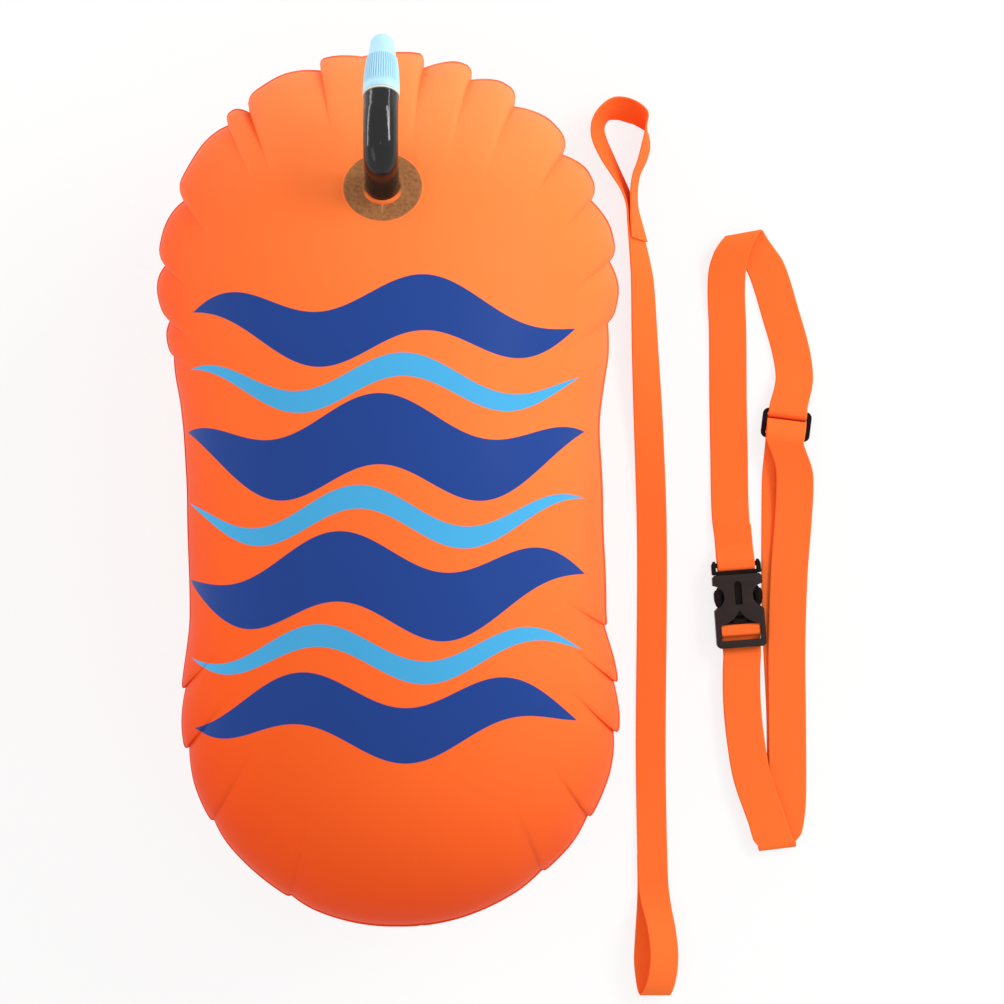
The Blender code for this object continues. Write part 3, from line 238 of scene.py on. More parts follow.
# Belt layers and routes, shared with the solid: x, y, z, and how far the left edge leans along x and y
BELT_THICKNESS = 0.0013
BELT_PITCH = 0.0017
LAYER_ONE = BELT_THICKNESS / 2
LAYER_TWO = LAYER_ONE + BELT_PITCH
LAYER_THREE = LAYER_TWO + BELT_PITCH
LAYER_FOUR = LAYER_THREE + BELT_PITCH
BELT_LEFT = (
    (0.2236, -0.0200, LAYER_TWO, -1.0, 0.00),
    (0.2229, -0.0040, LAYER_ONE + 0.0006, -1.0, 0.00),
    (0.2226, 0.0205, LAYER_ONE, -1.0, 0.00),
    (0.2219, 0.0598, LAYER_ONE, -1.0, 0.00),
    (0.2216, 0.1051, LAYER_ONE + 0.0004, -1.0, 0.00),
    (0.2206, 0.1298, 0.0022, -1.0, 0.00),
    (0.2212, 0.1464, 0.0046, -1.0, -0.03),
    (0.2243, 0.1584, 0.0070, -0.99, -0.10),
    (0.2283, 0.1660, 0.0076, -0.985, -0.16),
    (0.2313, 0.1697, 0.0060, -0.984, -0.177),
    (0.2322, 0.1703, 0.0040, -0.984, -0.177),
    (0.2335, 0.1690, 0.0018, -0.984, -0.177),
    (0.2365, 0.1640, LAYER_ONE + 0.0001, -0.98, -0.20),
    (0.2412, 0.1570, LAYER_ONE, -0.97, -0.24),
    (0.2464, 0.1491, LAYER_ONE, -0.96, -0.27),
    (0.2512, 0.1364, LAYER_ONE, -0.96, -0.27),
    (0.2570, 0.1164, LAYER_ONE, -0.96, -0.27),
    (0.2622, 0.0985, LAYER_ONE + 0.0004, -0.97, -0.24),
    (0.2652, 0.0838, 0.0019, -0.99, -0.12),
    (0.2655, 0.0712, 0.0044, -0.999, 0.04),
)
BELT_REAR = (
    (0.2577, 0.0195, 0.0040, -0.995, 0.08),
    (0.2570, 0.0100, 0.0016, -1.0, 0.03),
    (0.2567, -0.0014, LAYER_ONE, -1.0, 0.00),
    (0.2565, -0.0387, LAYER_ONE, -1.0, 0.00),
    (0.2567, -0.0734, LAYER_ONE, -1.0, 0.00),
    (0.2578, -0.1060, LAYER_ONE, -1.0, 0.00),
    (0.2600, -0.1553, LAYER_ONE, -1.0, 0.00),
    (0.2597, -0.2066, LAYER_ONE, -1.0, 0.00),
    (0.2575, -0.2300, LAYER_ONE, -0.995, -0.10),
)
BELT_TOP_LEFT = (
    (0.2505, -0.2300, LAYER_FOUR, -0.98, -0.20),
    (0.2468, -0.2175, LAYER_FOUR, -0.975, -0.22),
    (0.2375, -0.1906, LAYER_FOUR, -0.975, -0.22),
    (0.2330, -0.1640, LAYER_FOUR, -0.99, -0.13),
    (0.2308, -0.1400, LAYER_FOUR, -1.0, -0.04),
    (0.2306, -0.1180, LAYER_FOUR - 0.0002, -0.998, -0.06),
)
BELT_LOW_LEFT = (
    (0.2306, -0.1180, LAYER_THREE - 0.0002, -0.998, -0.06),
    (0.2308, -0.1400, LAYER_THREE, -1.0, -0.04),
    (0.2330, -0.1640, LAYER_THREE, -0.99, -0.13),
    (0.2375, -0.1906, LAYER_THREE, -0.975, -0.22),
    (0.2468, -0.2175, LAYER_THREE, -0.975, -0.22),
    (0.2507, -0.2290, LAYER_THREE, -0.98, -0.20),
)
BELT_FRONT = (
    (0.2585, -0.2290, LAYER_TWO, -0.995, -0.10),
    (0.2612, -0.2066, LAYER_TWO, -1.0, 0.00),
    (0.2612, -0.1553, LAYER_TWO, -1.0, 0.00),
    (0.2608, -0.1060, LAYER_TWO, -1.0, 0.00),
    (0.2622, -0.0574, LAYER_TWO, -1.0, 0.00),
    (0.2650, -0.0201, LAYER_TWO + 0.0004, -1.0, 0.02),
    (0.2660, 0.0020, LAYER_THREE + 0.0003, -0.998, 0.06),
    (0.2650, 0.0150, LAYER_THREE + 0.0026, -0.995, 0.10),
)
BELT_FOLD_PLACE = (0.2542, -0.2355)
BELT_FOLD_TURN = math.radians(7)
BELT_FOLD_BULGE = 1.08
BELT_TAIL = 0.026
ADJUSTER_UPPER = (
    (0.0133, 0.00185),
    (0.0085, 0.00230),
    (0.0070, 0.00222),
    (0.0059, 0.00160),
    (0.0051, 0.00060),
    (0.0046, -0.00080),
    (0.0043, -0.00220),
    (0.0034, -0.00335),
    (0.0018, -0.00395),
)
ADJUSTER_UNDER = -0.0040
ADJUSTER_SEWN = (
    (-0.0115, 0.00560),
    (-0.0085, 0.00585),
    (-0.0052, 0.00530),
    (-0.0021, 0.00400),
    (0.0000, 0.00265),
    (0.0014, 0.00225),
    (0.0023, 0.00175),
    (0.0026, 0.00090),
    (0.0026, -0.00090),
    (0.0023, -0.00175),
    (0.0014, -0.00222),
    (-0.0014, -0.00222),
    (-0.0023, -0.00175),
    (-0.0026, -0.00090),
    (-0.0027, 0.00030),
    (-0.0030, 0.00140),
    (-0.0038, 0.00255),
    (-0.0054, 0.00360),
    (-0.0085, 0.00410),
    (-0.0115, 0.00390),
)

# Buckle and adjuster frames, shared with the solid
BUCKLE_HEIGHT = 0.0063
BUCKLE_PLACE = (0.2285, -0.0755, BUCKLE_HEIGHT)
BUCKLE_FRAME = Matrix.Translation(BUCKLE_PLACE) @ Matrix.Rotation(math.radians(4.2), 4, "Z")
ADJUSTER_FRAME = Matrix.Translation((0.2602, 0.0432, 0.0050)) @ Matrix.Rotation(math.radians(-7), 4, "Z")
PLUG_BAR_Y = 0.0260
PLUG_BAR_RADIUS = 0.0016
SOCKET_END = -0.0290
RIM_WIDTH = 0.0048
INNER_BAR_Y = -0.0180
INNER_BAR_WIDTH = 0.0044
INNER_BAR_BOTTOM = -0.0019
INNER_BAR_TOP = 0.0016

# Webbing round the bars: how far its turns stand off, and how much wider it gets within a reach of them
PLUG_TURN_OUT = 0.0009
PLUG_TURN_SIDE = 0.0005
INNER_TURN_OUT = 0.0014
INNER_TURN_SIDE = 0.0009
WINDOW_SPREAD = 0.045
WINDOW_REACH = 0.011
ADJUSTER_SPREAD = 0.060
ADJUSTER_REACH = 0.010

# Dark webs under the buckle's arms, which stand in for the arms' thick pads and the shade under them, and the
# half width within which the plug's top is left free of painted shade like the socket's
WEB_PLACE = (0.0122, 0.0054, -0.00430)
WEB_HALF_LENGTH = 0.0064
WEB_THICKNESS = 0.00034
WEB_WIDTH_SHARE = 0.46
PLUG_TOP_HALF_WIDTH = 0.0134
WHOLE_WIDTH = 0.1
PALE_TOP_START = (0.0026, 0.0030)

# Print: place along Y, half height, swing and phase of each wave band, how far out it reaches, and 1 if light
WAVE_BANDS = (
    (0.099, 0.0170, 0.011, 0.3, 0.116, 0),
    (0.062, 0.0070, 0.011, 0.9, 0.119, 1),
    (0.023, 0.0210, 0.012, 1.6, 0.122, 0),
    (-0.017, 0.0070, 0.012, 2.2, 0.122, 1),
    (-0.058, 0.0210, 0.012, 2.8, 0.122, 0),
    (-0.098, 0.0070, 0.011, 3.4, 0.120, 1),
    (-0.136, 0.0170, 0.011, 4.0, 0.117, 0),
)
WAVE_RATE = 50.0
INK_BLUR = 0.0002
INK_FLOOR = 0.010
INK_FADE = 0.001

# Disc of the valve seen through the film: where the lip round the tube and the crease below it start and end
DISC_BLUR = 0.0005
LIP_EDGE = (0.0121, 0.0124)
LIP_TIP_SIDE = (0.0002, 0.0009)
LIP_TIP_END = (0.0124, 0.0136)
CREASE_SIDE = (0.0001, 0.0008)
CREASE_START = (0.0125, 0.0132)
CREASE_END = (0.0150, 0.0200)

# Edge of the webbing: how far in the painted highlight of its selvage reaches, and where the line of painted
# shade beside it starts and ends
SELVAGE_END = (0.0004, 0.0009)
INNER_LINE_START = (0.0006, 0.0011)
INNER_LINE_END = (0.0012, 0.0020)

# Fixed tints
CREASE_COLOUR = (0.55, 0.27, 0.13)
WORN_YARN_COLOUR = (1.0, 0.36, 0.095)
# Painted highlight along the webbing's selvage
SELVAGE_HIGHLIGHT_COLOUR = (1.0, 0.36, 0.12)
DUST_COLOUR = (0.35, 0.33, 0.32)
CREAM_DRIFT_COLOUR = (0.60, 0.57, 0.45)
MOUTHPIECE_DRIFT_COLOUR = (0.44, 0.72, 0.87)

# Stage
FLOOR_SIZE = 8
FLOOR_DROP = 0.0002
CAMERA_PLACE = (0.0714, -0.0081)
LAMP_AIM = (0, 0.05, 0.12)


def metres(name, description, default):
    return FloatProperty(name=name, description=description, default=default, unit="LENGTH")


def colour(name, description, red, green, blue):
    return FloatVectorProperty(
        name=name, description=description, subtype="COLOR", size=3, min=0, max=1, default=(red, green, blue)
    )


class BagSizes(bpy.types.PropertyGroup):
    length: metres("Length", "Length inside the weld", 0.540)
    depth: metres("Depth", "Depth of the free inflated bag", 0.243)
    top_half_width: metres("Half width, valve end", "Widest half near the valve", 0.139)
    waist_half_width: metres("Half width, waist", "Half width in the middle", 0.1275)
    low_half_width: metres("Half width, far end", "Widest half near the far end", 0.1335)
    film: metres("Film", "Thickness of the film", 0.0006)
    weld_width: metres("Weld", "Width of the weld's flange", 0.0014)
    notch_depth: metres("Notches", "Deepest notch of the weld", 0.0086)
    pucker_depth: metres("Puckers", "Depth of the creases from the notches", 0.0002)
    shoulder: metres("Lobe shoulder", "Length of a lobe's slow rise from its notch", 0.034)
    curl: metres("Lobe curl", "Length of a lobe's quick fall to its notch", 0.0085)
    lobe_points: IntProperty(
        name="Points along the weld", description="Corners along the weld", default=480, min=100
    )
    rings: IntProperty(name="Rings", description="Rings from the middle to the weld", default=44, min=12)


class ValveSizes(bpy.types.PropertyGroup):
    tube_radius: metres("Tube radius", "Outside of the tube", 0.0103)
    tube_wall: metres("Tube wall", "Wall of the tube", 0.0028)
    flange_radius: metres("Flange radius", "Disc that is welded under the film", 0.0235)
    mouthpiece_length: metres("Mouthpiece", "From the tube's end to the tip", 0.0424)
    grip_ribs: IntProperty(name="Grip ribs", description="Ribs round the mouthpiece", default=44, min=12)


class WebbingSizes(bpy.types.PropertyGroup):
    leash_width: metres("Leash width", "Width of the leash", 0.020)
    leash_thickness: metres("Leash thickness", "Thickness of the leash", 0.0012)
    belt_width: metres("Belt width", "Width of the belt", 0.025)
    rib_pitch: metres("Rib pitch", "Distance of the ribs in the weave", 0.00145)
    yarn_pitch: metres("Yarn pitch", "Distance of the yarns across", 0.00115)


class BuckleSizes(bpy.types.PropertyGroup):
    edge: metres("Edges", "Rounding of the moulded edges", 0.0004)
    stitch: metres("Stitch", "Length of one stitch", 0.0019)
    thread: metres("Thread", "Thickness of the thread", 0.0005)


class Colours(bpy.types.PropertyGroup):
    # Film tones: the film is paler towards the upper right and deeper towards the lower left, which is
    # painted light and shade, and brighter above the valve, which is a painted highlight
    film: colour("Film", "Film at the valve end", 1.0, 0.222, 0.052)
    film_painted_shade: colour("Film, far end", "Film at the far end", 1.0, 0.112, 0.013)
    film_painted_highlight: colour("Film, bright", "Film above the valve", 1.0, 0.350, 0.115)
    # Painted shade: the film turns deeper towards the weld
    film_edge_painted_shade: colour("Film edge", "Film near the weld", 0.80, 0.062, 0.006)
    # Painted shade: the weld's outer rim is darker on the outer parts of the lobes
    weld: colour("Weld", "Outer rim of the weld", 0.70, 0.075, 0.008)
    flange: colour("Flange", "Flange seen through the film", 0.345, 0.160, 0.062)
    flange_dark: colour("Flange, dark", "Dark specks of the flange", 0.205, 0.088, 0.036)
    navy: colour("Navy", "Dark bands of the print", 0.018, 0.055, 0.255)
    sky: colour("Sky", "Light bands of the print", 0.065, 0.385, 0.69)
    tube: colour("Tube", "Black tube", 0.006, 0.006, 0.007)
    mouthpiece: colour("Mouthpiece", "Light blue mouthpiece", 0.43, 0.71, 0.87)
    # Painted shade in the grooves of the mouthpiece's grip and just under its band's top
    groove_shade: colour("Grip groove", "Grooves of the mouthpiece's grip", 0.27, 0.53, 0.68)
    ring: colour("Ring", "Cream ring and valve body", 0.74, 0.72, 0.60)
    rubber: colour("Seal", "Black seals", 0.02, 0.02, 0.02)
    webbing: colour("Webbing", "Yarn on the face of the webbing", 1.0, 0.236, 0.041)
    # Painted shade: this deeper tone darkens the valleys between the yarns, the line beside the selvage and
    # the twist of the thread
    webbing_painted_shade: colour("Webbing valleys", "Between the yarns", 0.90, 0.085, 0.008)
    thread: colour("Thread", "Sewing thread", 1.0, 0.24, 0.045)
    plastic: colour("Plastic", "Buckle and adjuster", 0.020, 0.015, 0.014)
    plastic_worn: colour("Worn plastic", "Scuffs of the buckle", 0.034, 0.026, 0.024)
    # Painted shade: this dark tone darkens the buckle's low parts and sides, the arms and the adjuster
    plastic_painted_shade: colour("Deep plastic", "Low parts and sides of the buckle", 0.0075, 0.0015, 0.0020)
    floor: colour("Floor", "Floor of the stage", 0.92, 0.92, 0.92)


class StageSizes(bpy.types.PropertyGroup):
    camera_height: metres("Camera height", "Over the floor", 2.0)
    lens: FloatProperty(name="Lens", description="Focal length in millimetres", default=107.67, min=10)
    key: FloatProperty(name="Key light", description="Power of the large soft lamp", default=26.0, min=0)
    strips: FloatProperty(name="Side strips", description="Power of each side strip", default=2.2, min=0)
    world: FloatProperty(name="Surroundings", description="Strength of the even light", default=0.80, min=0)


# Mesh helpers


def smooth_step(low, high, value):
    share = min(1.0, max(0.0, (value - low) / (high - low)))
    return share * share * (3 - 2 * share)


def deselect():
    if bpy.context.object and bpy.context.object.mode != "OBJECT":
        bpy.ops.object.mode_set(mode="OBJECT")
    bpy.ops.object.select_all(action="DESELECT")


def choose(*pieces):
    deselect()
    for piece in pieces:
        piece.select_set(True)
    bpy.context.view_layer.objects.active = pieces[0]


def new_piece(name):
    """A plane primitive, emptied, that a piece's mesh is put in."""
    deselect()
    bpy.ops.mesh.primitive_plane_add(size=0.01)
    piece = bpy.context.object
    piece.name = name
    piece.data.name = name
    bpy.ops.object.mode_set(mode="EDIT")
    bpy.ops.mesh.select_all(action="SELECT")
    bpy.ops.mesh.delete(type="VERT")
    bpy.ops.object.mode_set(mode="OBJECT")
    return piece


def fill_piece(piece, places, faces):
    piece.data.from_pydata([tuple(place) for place in places], [], faces)
    piece.data.update()


def apply_modifiers(piece):
    choose(piece)
    for modifier in list(piece.modifiers):
        bpy.ops.object.modifier_apply(modifier=modifier.name)


def apply_place(piece, place):
    """Puts the piece's place in its mesh, so that its object stays at the origin."""
    piece.data.transform(place)
    piece.data.update()


def shade(piece, angle=40):
    choose(piece)
    bpy.ops.object.shade_smooth_by_angle(angle=math.radians(angle))


def join(pieces, name):
    choose(*pieces)
    bpy.ops.object.join()
    pieces[0].name = name
    return pieces[0]


def turned(name, profile, steps):
    """Spins a profile of (radius, height) round Z. A closed profile gives a ring."""
    piece = new_piece(name)
    bpy.ops.object.mode_set(mode="EDIT")
    work = bmesh.from_edit_mesh(piece.data)
    corners = [work.verts.new((radius, 0, height)) for radius, height in profile]
    on_axis = profile[0][0] == 0 and profile[-1][0] == 0
    edges = list(zip(corners, corners[1:])) + ([] if on_axis else [(corners[-1], corners[0])])
    for pair in edges:
        work.edges.new(pair)
    bmesh.update_edit_mesh(piece.data)
    bpy.ops.mesh.select_all(action="SELECT")
    bpy.ops.mesh.spin(steps=steps, angle=2 * math.pi, center=(0, 0, 0), axis=(0, 0, 1))
    bpy.ops.mesh.select_all(action="SELECT")
    bpy.ops.mesh.remove_doubles(threshold=0.00001)
    bpy.ops.mesh.normals_make_consistent(inside=False)
    bpy.ops.object.mode_set(mode="OBJECT")
    return piece


def rounded(profile, radius, steps=3):
    """Rounds the corners of a closed (radius, height) profile."""
    made = []
    count = len(profile)
    for number in range(count):
        before, corner, after = (Vector(profile[(number + n) % count]) for n in (-1, 0, 1))
        if corner.x == 0:
            made.append(tuple(corner))
            continue
        reach = min(radius, (before - corner).length * 0.45, (after - corner).length * 0.45)
        start = corner + (before - corner).normalized() * reach
        end = corner + (after - corner).normalized() * reach
        for step in range(steps + 1):
            t = step / steps
            made.append(tuple(start * (1 - t) ** 2 + corner * 2 * t * (1 - t) + end * t * t))
    return made


def detailed_copy(node, name, edge, segments=3):
    """A merged copy of a moulded CAD piece with rounded edges."""
    deselect()
    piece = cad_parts[node].copy()
    piece.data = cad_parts[node].data.copy()
    piece.name = name
    piece.data.name = name
    piece.parent = None
    for key in list(piece.keys()):
        del piece[key]
    bpy.context.scene.collection.objects.link(piece)
    choose(piece)
    bpy.ops.object.mode_set(mode="EDIT")
    bpy.ops.mesh.select_all(action="SELECT")
    bpy.ops.mesh.remove_doubles(threshold=0.00001)
    bpy.ops.mesh.dissolve_limited(angle_limit=math.radians(0.5))
    bpy.ops.object.mode_set(mode="OBJECT")
    piece.data.materials.clear()
    bevel = piece.modifiers.new("edges", "BEVEL")
    bevel.width = edge
    bevel.segments = segments
    bevel.limit_method = "ANGLE"
    bevel.angle_limit = math.radians(32)
    apply_modifiers(piece)
    shade(piece, 50)
    return piece


# Material helpers


class Value:
    """A number or a vector on a surface. Arithmetic on it adds Math nodes."""

    def __init__(self, finish, socket):
        self.finish = finish
        self.socket = socket

    def maths(self, operation, *inputs):
        return self.finish.node("ShaderNodeMath", {"operation": operation}, dict(enumerate(inputs)))

    def __add__(self, other):
        return self.maths("ADD", self, other)

    def __radd__(self, other):
        return self.maths("ADD", other, self)

    def __sub__(self, other):
        return self.maths("SUBTRACT", self, other)

    def __rsub__(self, other):
        return self.maths("SUBTRACT", other, self)

    def __mul__(self, other):
        return self.maths("MULTIPLY", self, other)

    def __rmul__(self, other):
        return self.maths("MULTIPLY", other, self)

    def __truediv__(self, other):
        return self.maths("DIVIDE", self, other)

    def __pow__(self, other):
        return self.maths("POWER", self, other)

    def __abs__(self):
        return self.maths("ABSOLUTE", self)

    def sin(self):
        return self.maths("SINE", self)

    def floor(self):
        return self.maths("FLOOR", self)

    def modulo(self, other):
        return self.maths("FLOORED_MODULO", self, other)

    def most(self, other):
        return self.maths("MAXIMUM", self, other)

    def step(self, low, high):
        """0 below low and 1 above high, smooth between them."""
        inputs = {"Value": self, "From Min": low, "From Max": high}
        return self.finish.node("ShaderNodeMapRange", {"interpolation_type": "SMOOTHSTEP"}, inputs)


class Finish:
    """A node material under construction."""

    def __init__(self, name):
        self.material = bpy.data.materials.new(name)
        self.material.use_nodes = True
        self.tree = self.material.node_tree
        self.shader = self.tree.nodes["Principled BSDF"]

    def node(self, kind, settings=None, inputs=None, output=0):
        made = self.tree.nodes.new(kind)
        for key, value in (settings or {}).items():
            setattr(made, key, value)
        for key, value in (inputs or {}).items():
            self.feed(made.inputs[key], value)
        return Value(self, made.outputs[output])

    def feed(self, socket, value):
        if isinstance(value, Value):
            self.tree.links.new(value.socket, socket)
        elif socket.type == "RGBA" and len(value) == 3:
            socket.default_value = (*value, 1)
        else:
            socket.default_value = value

    def set(self, **values):
        """Values or links for the shader's sockets, with _ for a space."""
        for key, value in values.items():
            self.feed(self.shader.inputs[key.replace("_", " ")], value)

    def base(self):
        """The base colour that is linked now."""
        return Value(self, self.shader.inputs["Base Color"].links[0].from_socket)

    def place(self):
        """Object coordinates, as a vector and its three values."""
        vector = self.node("ShaderNodeTexCoord", output="Object")
        split = self.node("ShaderNodeSeparateXYZ", inputs={0: vector}).socket.node
        return vector, *(Value(self, split.outputs[n]) for n in range(3))

    def own_uv(self):
        vector = self.node("ShaderNodeUVMap", {"uv_map": "UVMap"})
        split = self.node("ShaderNodeSeparateXYZ", inputs={0: vector}).socket.node
        return vector, Value(self, split.outputs[0]), Value(self, split.outputs[1])

    def vector(self, x, y, z):
        return self.node("ShaderNodeCombineXYZ", inputs={0: x, 1: y, 2: z})

    def noise(self, vector, scale, detail=2.0, roughness=0.5):
        return self.node(
            "ShaderNodeTexNoise",
            inputs={"Vector": vector, "Scale": scale, "Detail": detail, "Roughness": roughness},
        )

    def mix(self, factor, first, second):
        """Colour between two colours."""
        made = self.tree.nodes.new("ShaderNodeMix")
        made.data_type = "RGBA"
        self.feed(made.inputs["Factor"], factor)
        self.feed(made.inputs[6], first)
        self.feed(made.inputs[7], second)
        return Value(self, made.outputs[2])

    def bump(self, height, distance, strength=1.0, normal=None):
        inputs = {"Height": height, "Distance": distance, "Strength": strength}
        if normal is not None:
            inputs["Normal"] = normal
        return self.node("ShaderNodeBump", inputs=inputs)

    def put_on(self, *pieces):
        for piece in pieces:
            piece.data.materials.clear()
            piece.data.materials.append(self.material)


# Finishes


def film_finish(colours, shape, printed):
    """Soft welded film: deeper near the weld and towards the lower left as painted shade, paler towards the
    upper right as painted light, fine grain, faint wrinkles, and a print of plain wave bands.
    """
    finish = Finish("film_printed" if printed else "film_plain")
    vector, x, y, z = finish.place()
    height = abs(z - shape.seam_height)
    # Painted shade: the film turns deeper towards the weld, more so towards the lower left
    depth = 1 - height.step(0.001, 0.105)
    mottle = finish.noise(vector, 9.0, 3.0)
    # Painted light and shade: paler towards the upper right, deeper towards the lower left, and a painted
    # highlight above the valve end
    light = (y * 0.6 + x * 0.9).step(-0.24, 0.24)
    tone = finish.mix(light, colours.film_painted_shade, colours.film)
    tone = finish.mix(y.step(0.17, 0.26) * 0.5, tone, colours.film_painted_highlight)
    base = finish.mix(depth * (1.12 - light) + (mottle - 0.5) * 0.20, tone, colours.film_edge_painted_shade)
    # Painted shade on the outer rim of the weld
    weld = finish.node("ShaderNodeAttribute", {"attribute_name": "weld_rim_painted_shade"}, output="Fac")
    base = finish.mix(weld.step(0.25, 0.55) * 0.85, base, colours.weld)
    gloss = 0.40 + mottle * 0.10
    if printed:
        ink, light_ink = wave_bands(x, y, z, shape.seam_height)
        base = finish.mix(ink, base, finish.mix(light_ink, colours.navy, colours.sky))
        gloss = gloss - ink * 0.06
        middle = shape.valve_seat.translation
        axis = (shape.valve_seat.to_3x3() @ Vector((0, 1, 0))).normalized()
        along = (y - middle.y) * axis.y + (z - middle.z) * axis.z
        away = (x * x + along * along) ** 0.5
        disc = 1 - away.step(shape.flange_radius - DISC_BLUR, shape.flange_radius + DISC_BLUR)
        below = 0.0 - along
        lip = (1 - away.step(*LIP_EDGE)) * (below / away).step(0.20, 0.70)
        lip = lip.most((1 - abs(x).step(*LIP_TIP_SIDE)) * (1 - below.step(*LIP_TIP_END)))
        crease = (1 - abs(x).step(*CREASE_SIDE)) * below.step(*CREASE_START)
        crease = crease * (1 - below.step(*CREASE_END))
        cloud = finish.noise(vector, 420.0, 4.0, 0.65)
        under = finish.mix(cloud.step(0.28, 0.72), colours.flange, colours.flange_dark)
        under = finish.mix(crease * 0.55, under, CREASE_COLOUR)
        base = finish.mix(disc * (1 - lip) * 0.95, base, under)
    rim = (1 - height.step(0.004, 0.045)) * 0.9
    out = (x * x + y * y) ** 0.5
    ray = finish.vector(x / out * 9.0, y / out * 9.0, out * 5.0)
    wrinkle = finish.noise(ray, 2.6, 2.0) * rim
    grain = finish.noise(vector, 900.0, 2.0)
    relief = finish.bump(wrinkle, 0.0008, 0.4)
    relief = finish.bump(grain, 0.00005, 0.3, relief)
    finish.set(Base_Color=base, Roughness=gloss, Normal=relief, IOR=1.12)
    return finish


def wave_bands(x, y, z, seam_height):
    """Plain wave bands across the upper film: how much ink, and how much of it is the light one."""
    ink = None
    light = None
    for middle, half, swing, phase, reach, is_light in WAVE_BANDS:
        line = (x * WAVE_RATE + phase).sin() * swing + middle
        taper = 1 - (abs(x) / reach) ** 3.0
        inside = (abs(y - line) - taper * half).step(-INK_BLUR, INK_BLUR)
        band = (1 - inside) * z.step(seam_height + INK_FLOOR, seam_height + INK_FLOOR + INK_FADE)
        ink = band if ink is None else ink.most(band)
        if is_light:
            light = band if light is None else light.most(band)
    return ink, light


def webbing_finish(colours, sizes, width):
    """Woven webbing: cross ribs over lengthwise yarns with painted shade between them, a painted highlight on
    the selvage and painted shade beside it, on the strap's own UV in metres.
    """
    finish = Finish("webbing")
    vector, along, across = finish.own_uv()
    column = (across / sizes.yarn_pitch).floor()
    phase = column.modulo(2.0) * math.pi
    rib = (along * (2 * math.pi / sizes.rib_pitch) + phase).sin() * 0.5 + 0.5
    yarn = abs((across * (math.pi / sizes.yarn_pitch)).sin())
    weave = (rib * 0.80 + 0.20) * (yarn * 0.65 + 0.35)
    fuzz = finish.noise(vector, 1400.0, 3.0)
    wear = finish.noise(vector, 28.0, 3.0)
    fibre = finish.noise(finish.vector(along * 3000.0, across * 500.0, 0.0), 1.0, 2.0)
    # Painted shade between the yarns
    tone = finish.mix((weave * 0.8 + fibre * 0.2).step(0.0, 0.62), colours.webbing_painted_shade, colours.webbing)
    tone = finish.mix((wear - 0.40) * 0.9, tone, WORN_YARN_COLOUR)
    inset = width / 2 - abs(across)
    selvage = 1 - inset.step(*SELVAGE_END)
    # Painted shade in a line beside the selvage
    inner_line = inset.step(*INNER_LINE_START) * (1 - inset.step(*INNER_LINE_END))
    tone = finish.mix(inner_line * 0.35, tone, colours.webbing_painted_shade)
    # Painted highlight along the selvage
    tone = finish.mix(selvage * 0.45, tone, SELVAGE_HIGHLIGHT_COLOUR)
    relief = finish.bump(weave + fuzz * 0.25, 0.00022, 0.6)
    finish.set(Base_Color=tone, Roughness=0.85, Normal=relief, Specular_IOR_Level=0.15)
    return finish


def thread_finish(colours):
    finish = Finish("sewing_thread")
    _, x, y, z = finish.place()
    twist = ((x + y + z) * 9000.0).sin() * 0.5 + 0.5
    # Painted shade in the twist of the thread
    finish.set(
        Base_Color=finish.mix(twist * 0.5, colours.thread, colours.webbing_painted_shade),
        Roughness=0.6,
        Normal=finish.bump(twist, 0.0001, 0.5),
    )
    return finish


def rubber_finish(name, tint, gloss, wobble):
    """Moulded rubber: soft waves that break up its highlights, and specks of dust."""
    finish = Finish(name)
    vector = finish.place()[0]
    waves = finish.noise(vector, 95.0, 2.0)
    specks = finish.noise(vector, 1500.0, 2.0).step(0.70, 0.76)
    smear = finish.noise(vector, 240.0, 3.0)
    finish.set(
        Base_Color=finish.mix(specks * 0.10, tint, DUST_COLOUR),
        Roughness=smear * 0.10 + gloss,
        Normal=finish.bump(waves, wobble, 0.5),
        Specular_IOR_Level=0.42,
    )
    return finish


def moulded_finish(name, tint, tint_two, gloss, grain_size=700.0):
    """Moulded plastic: faint colour drift, fine grain and scuffs that turn it duller."""
    finish = Finish(name)
    vector, x, y, z = finish.place()
    drift = finish.noise(vector, 120.0, 3.0)
    grain = finish.noise(vector, grain_size, 2.0)
    scuff = finish.noise(finish.vector(x * 900.0, y * 160.0, z * 160.0), 1.0, 4.0).step(0.60, 0.75)
    finish.set(
        Base_Color=finish.mix(drift * 0.7 + scuff * 0.12, tint, tint_two),
        Roughness=drift * 0.10 + scuff * 0.14 + gloss,
        Normal=finish.bump(grain, 0.00005, 0.35),
    )
    return finish


def buckle_finish(name, colours, tops_to):
    """Buckle plastic: paler on the broad tops, and darkened with painted shade below them and further out
    than tops_to.
    """
    finish = moulded_finish(name, colours.plastic, colours.plastic_worn, 0.40, 1100.0)
    base = finish.base()
    _, x, y, z = finish.place()
    middle = BUCKLE_FRAME.translation
    across = (BUCKLE_FRAME.to_3x3() @ Vector((1, 0, 0))).normalized()
    side = abs((x - middle.x) * across.x + (y - middle.y) * across.y)
    height = z - middle.z
    # Painted shade on the low parts and sides of the buckle
    painted_shade = (1 - height.step(*PALE_TOP_START)).most(side.step(tops_to, tops_to + 0.0003))
    finish.set(Base_Color=finish.mix(painted_shade, base, colours.plastic_painted_shade), Specular_IOR_Level=0.12)
    return finish


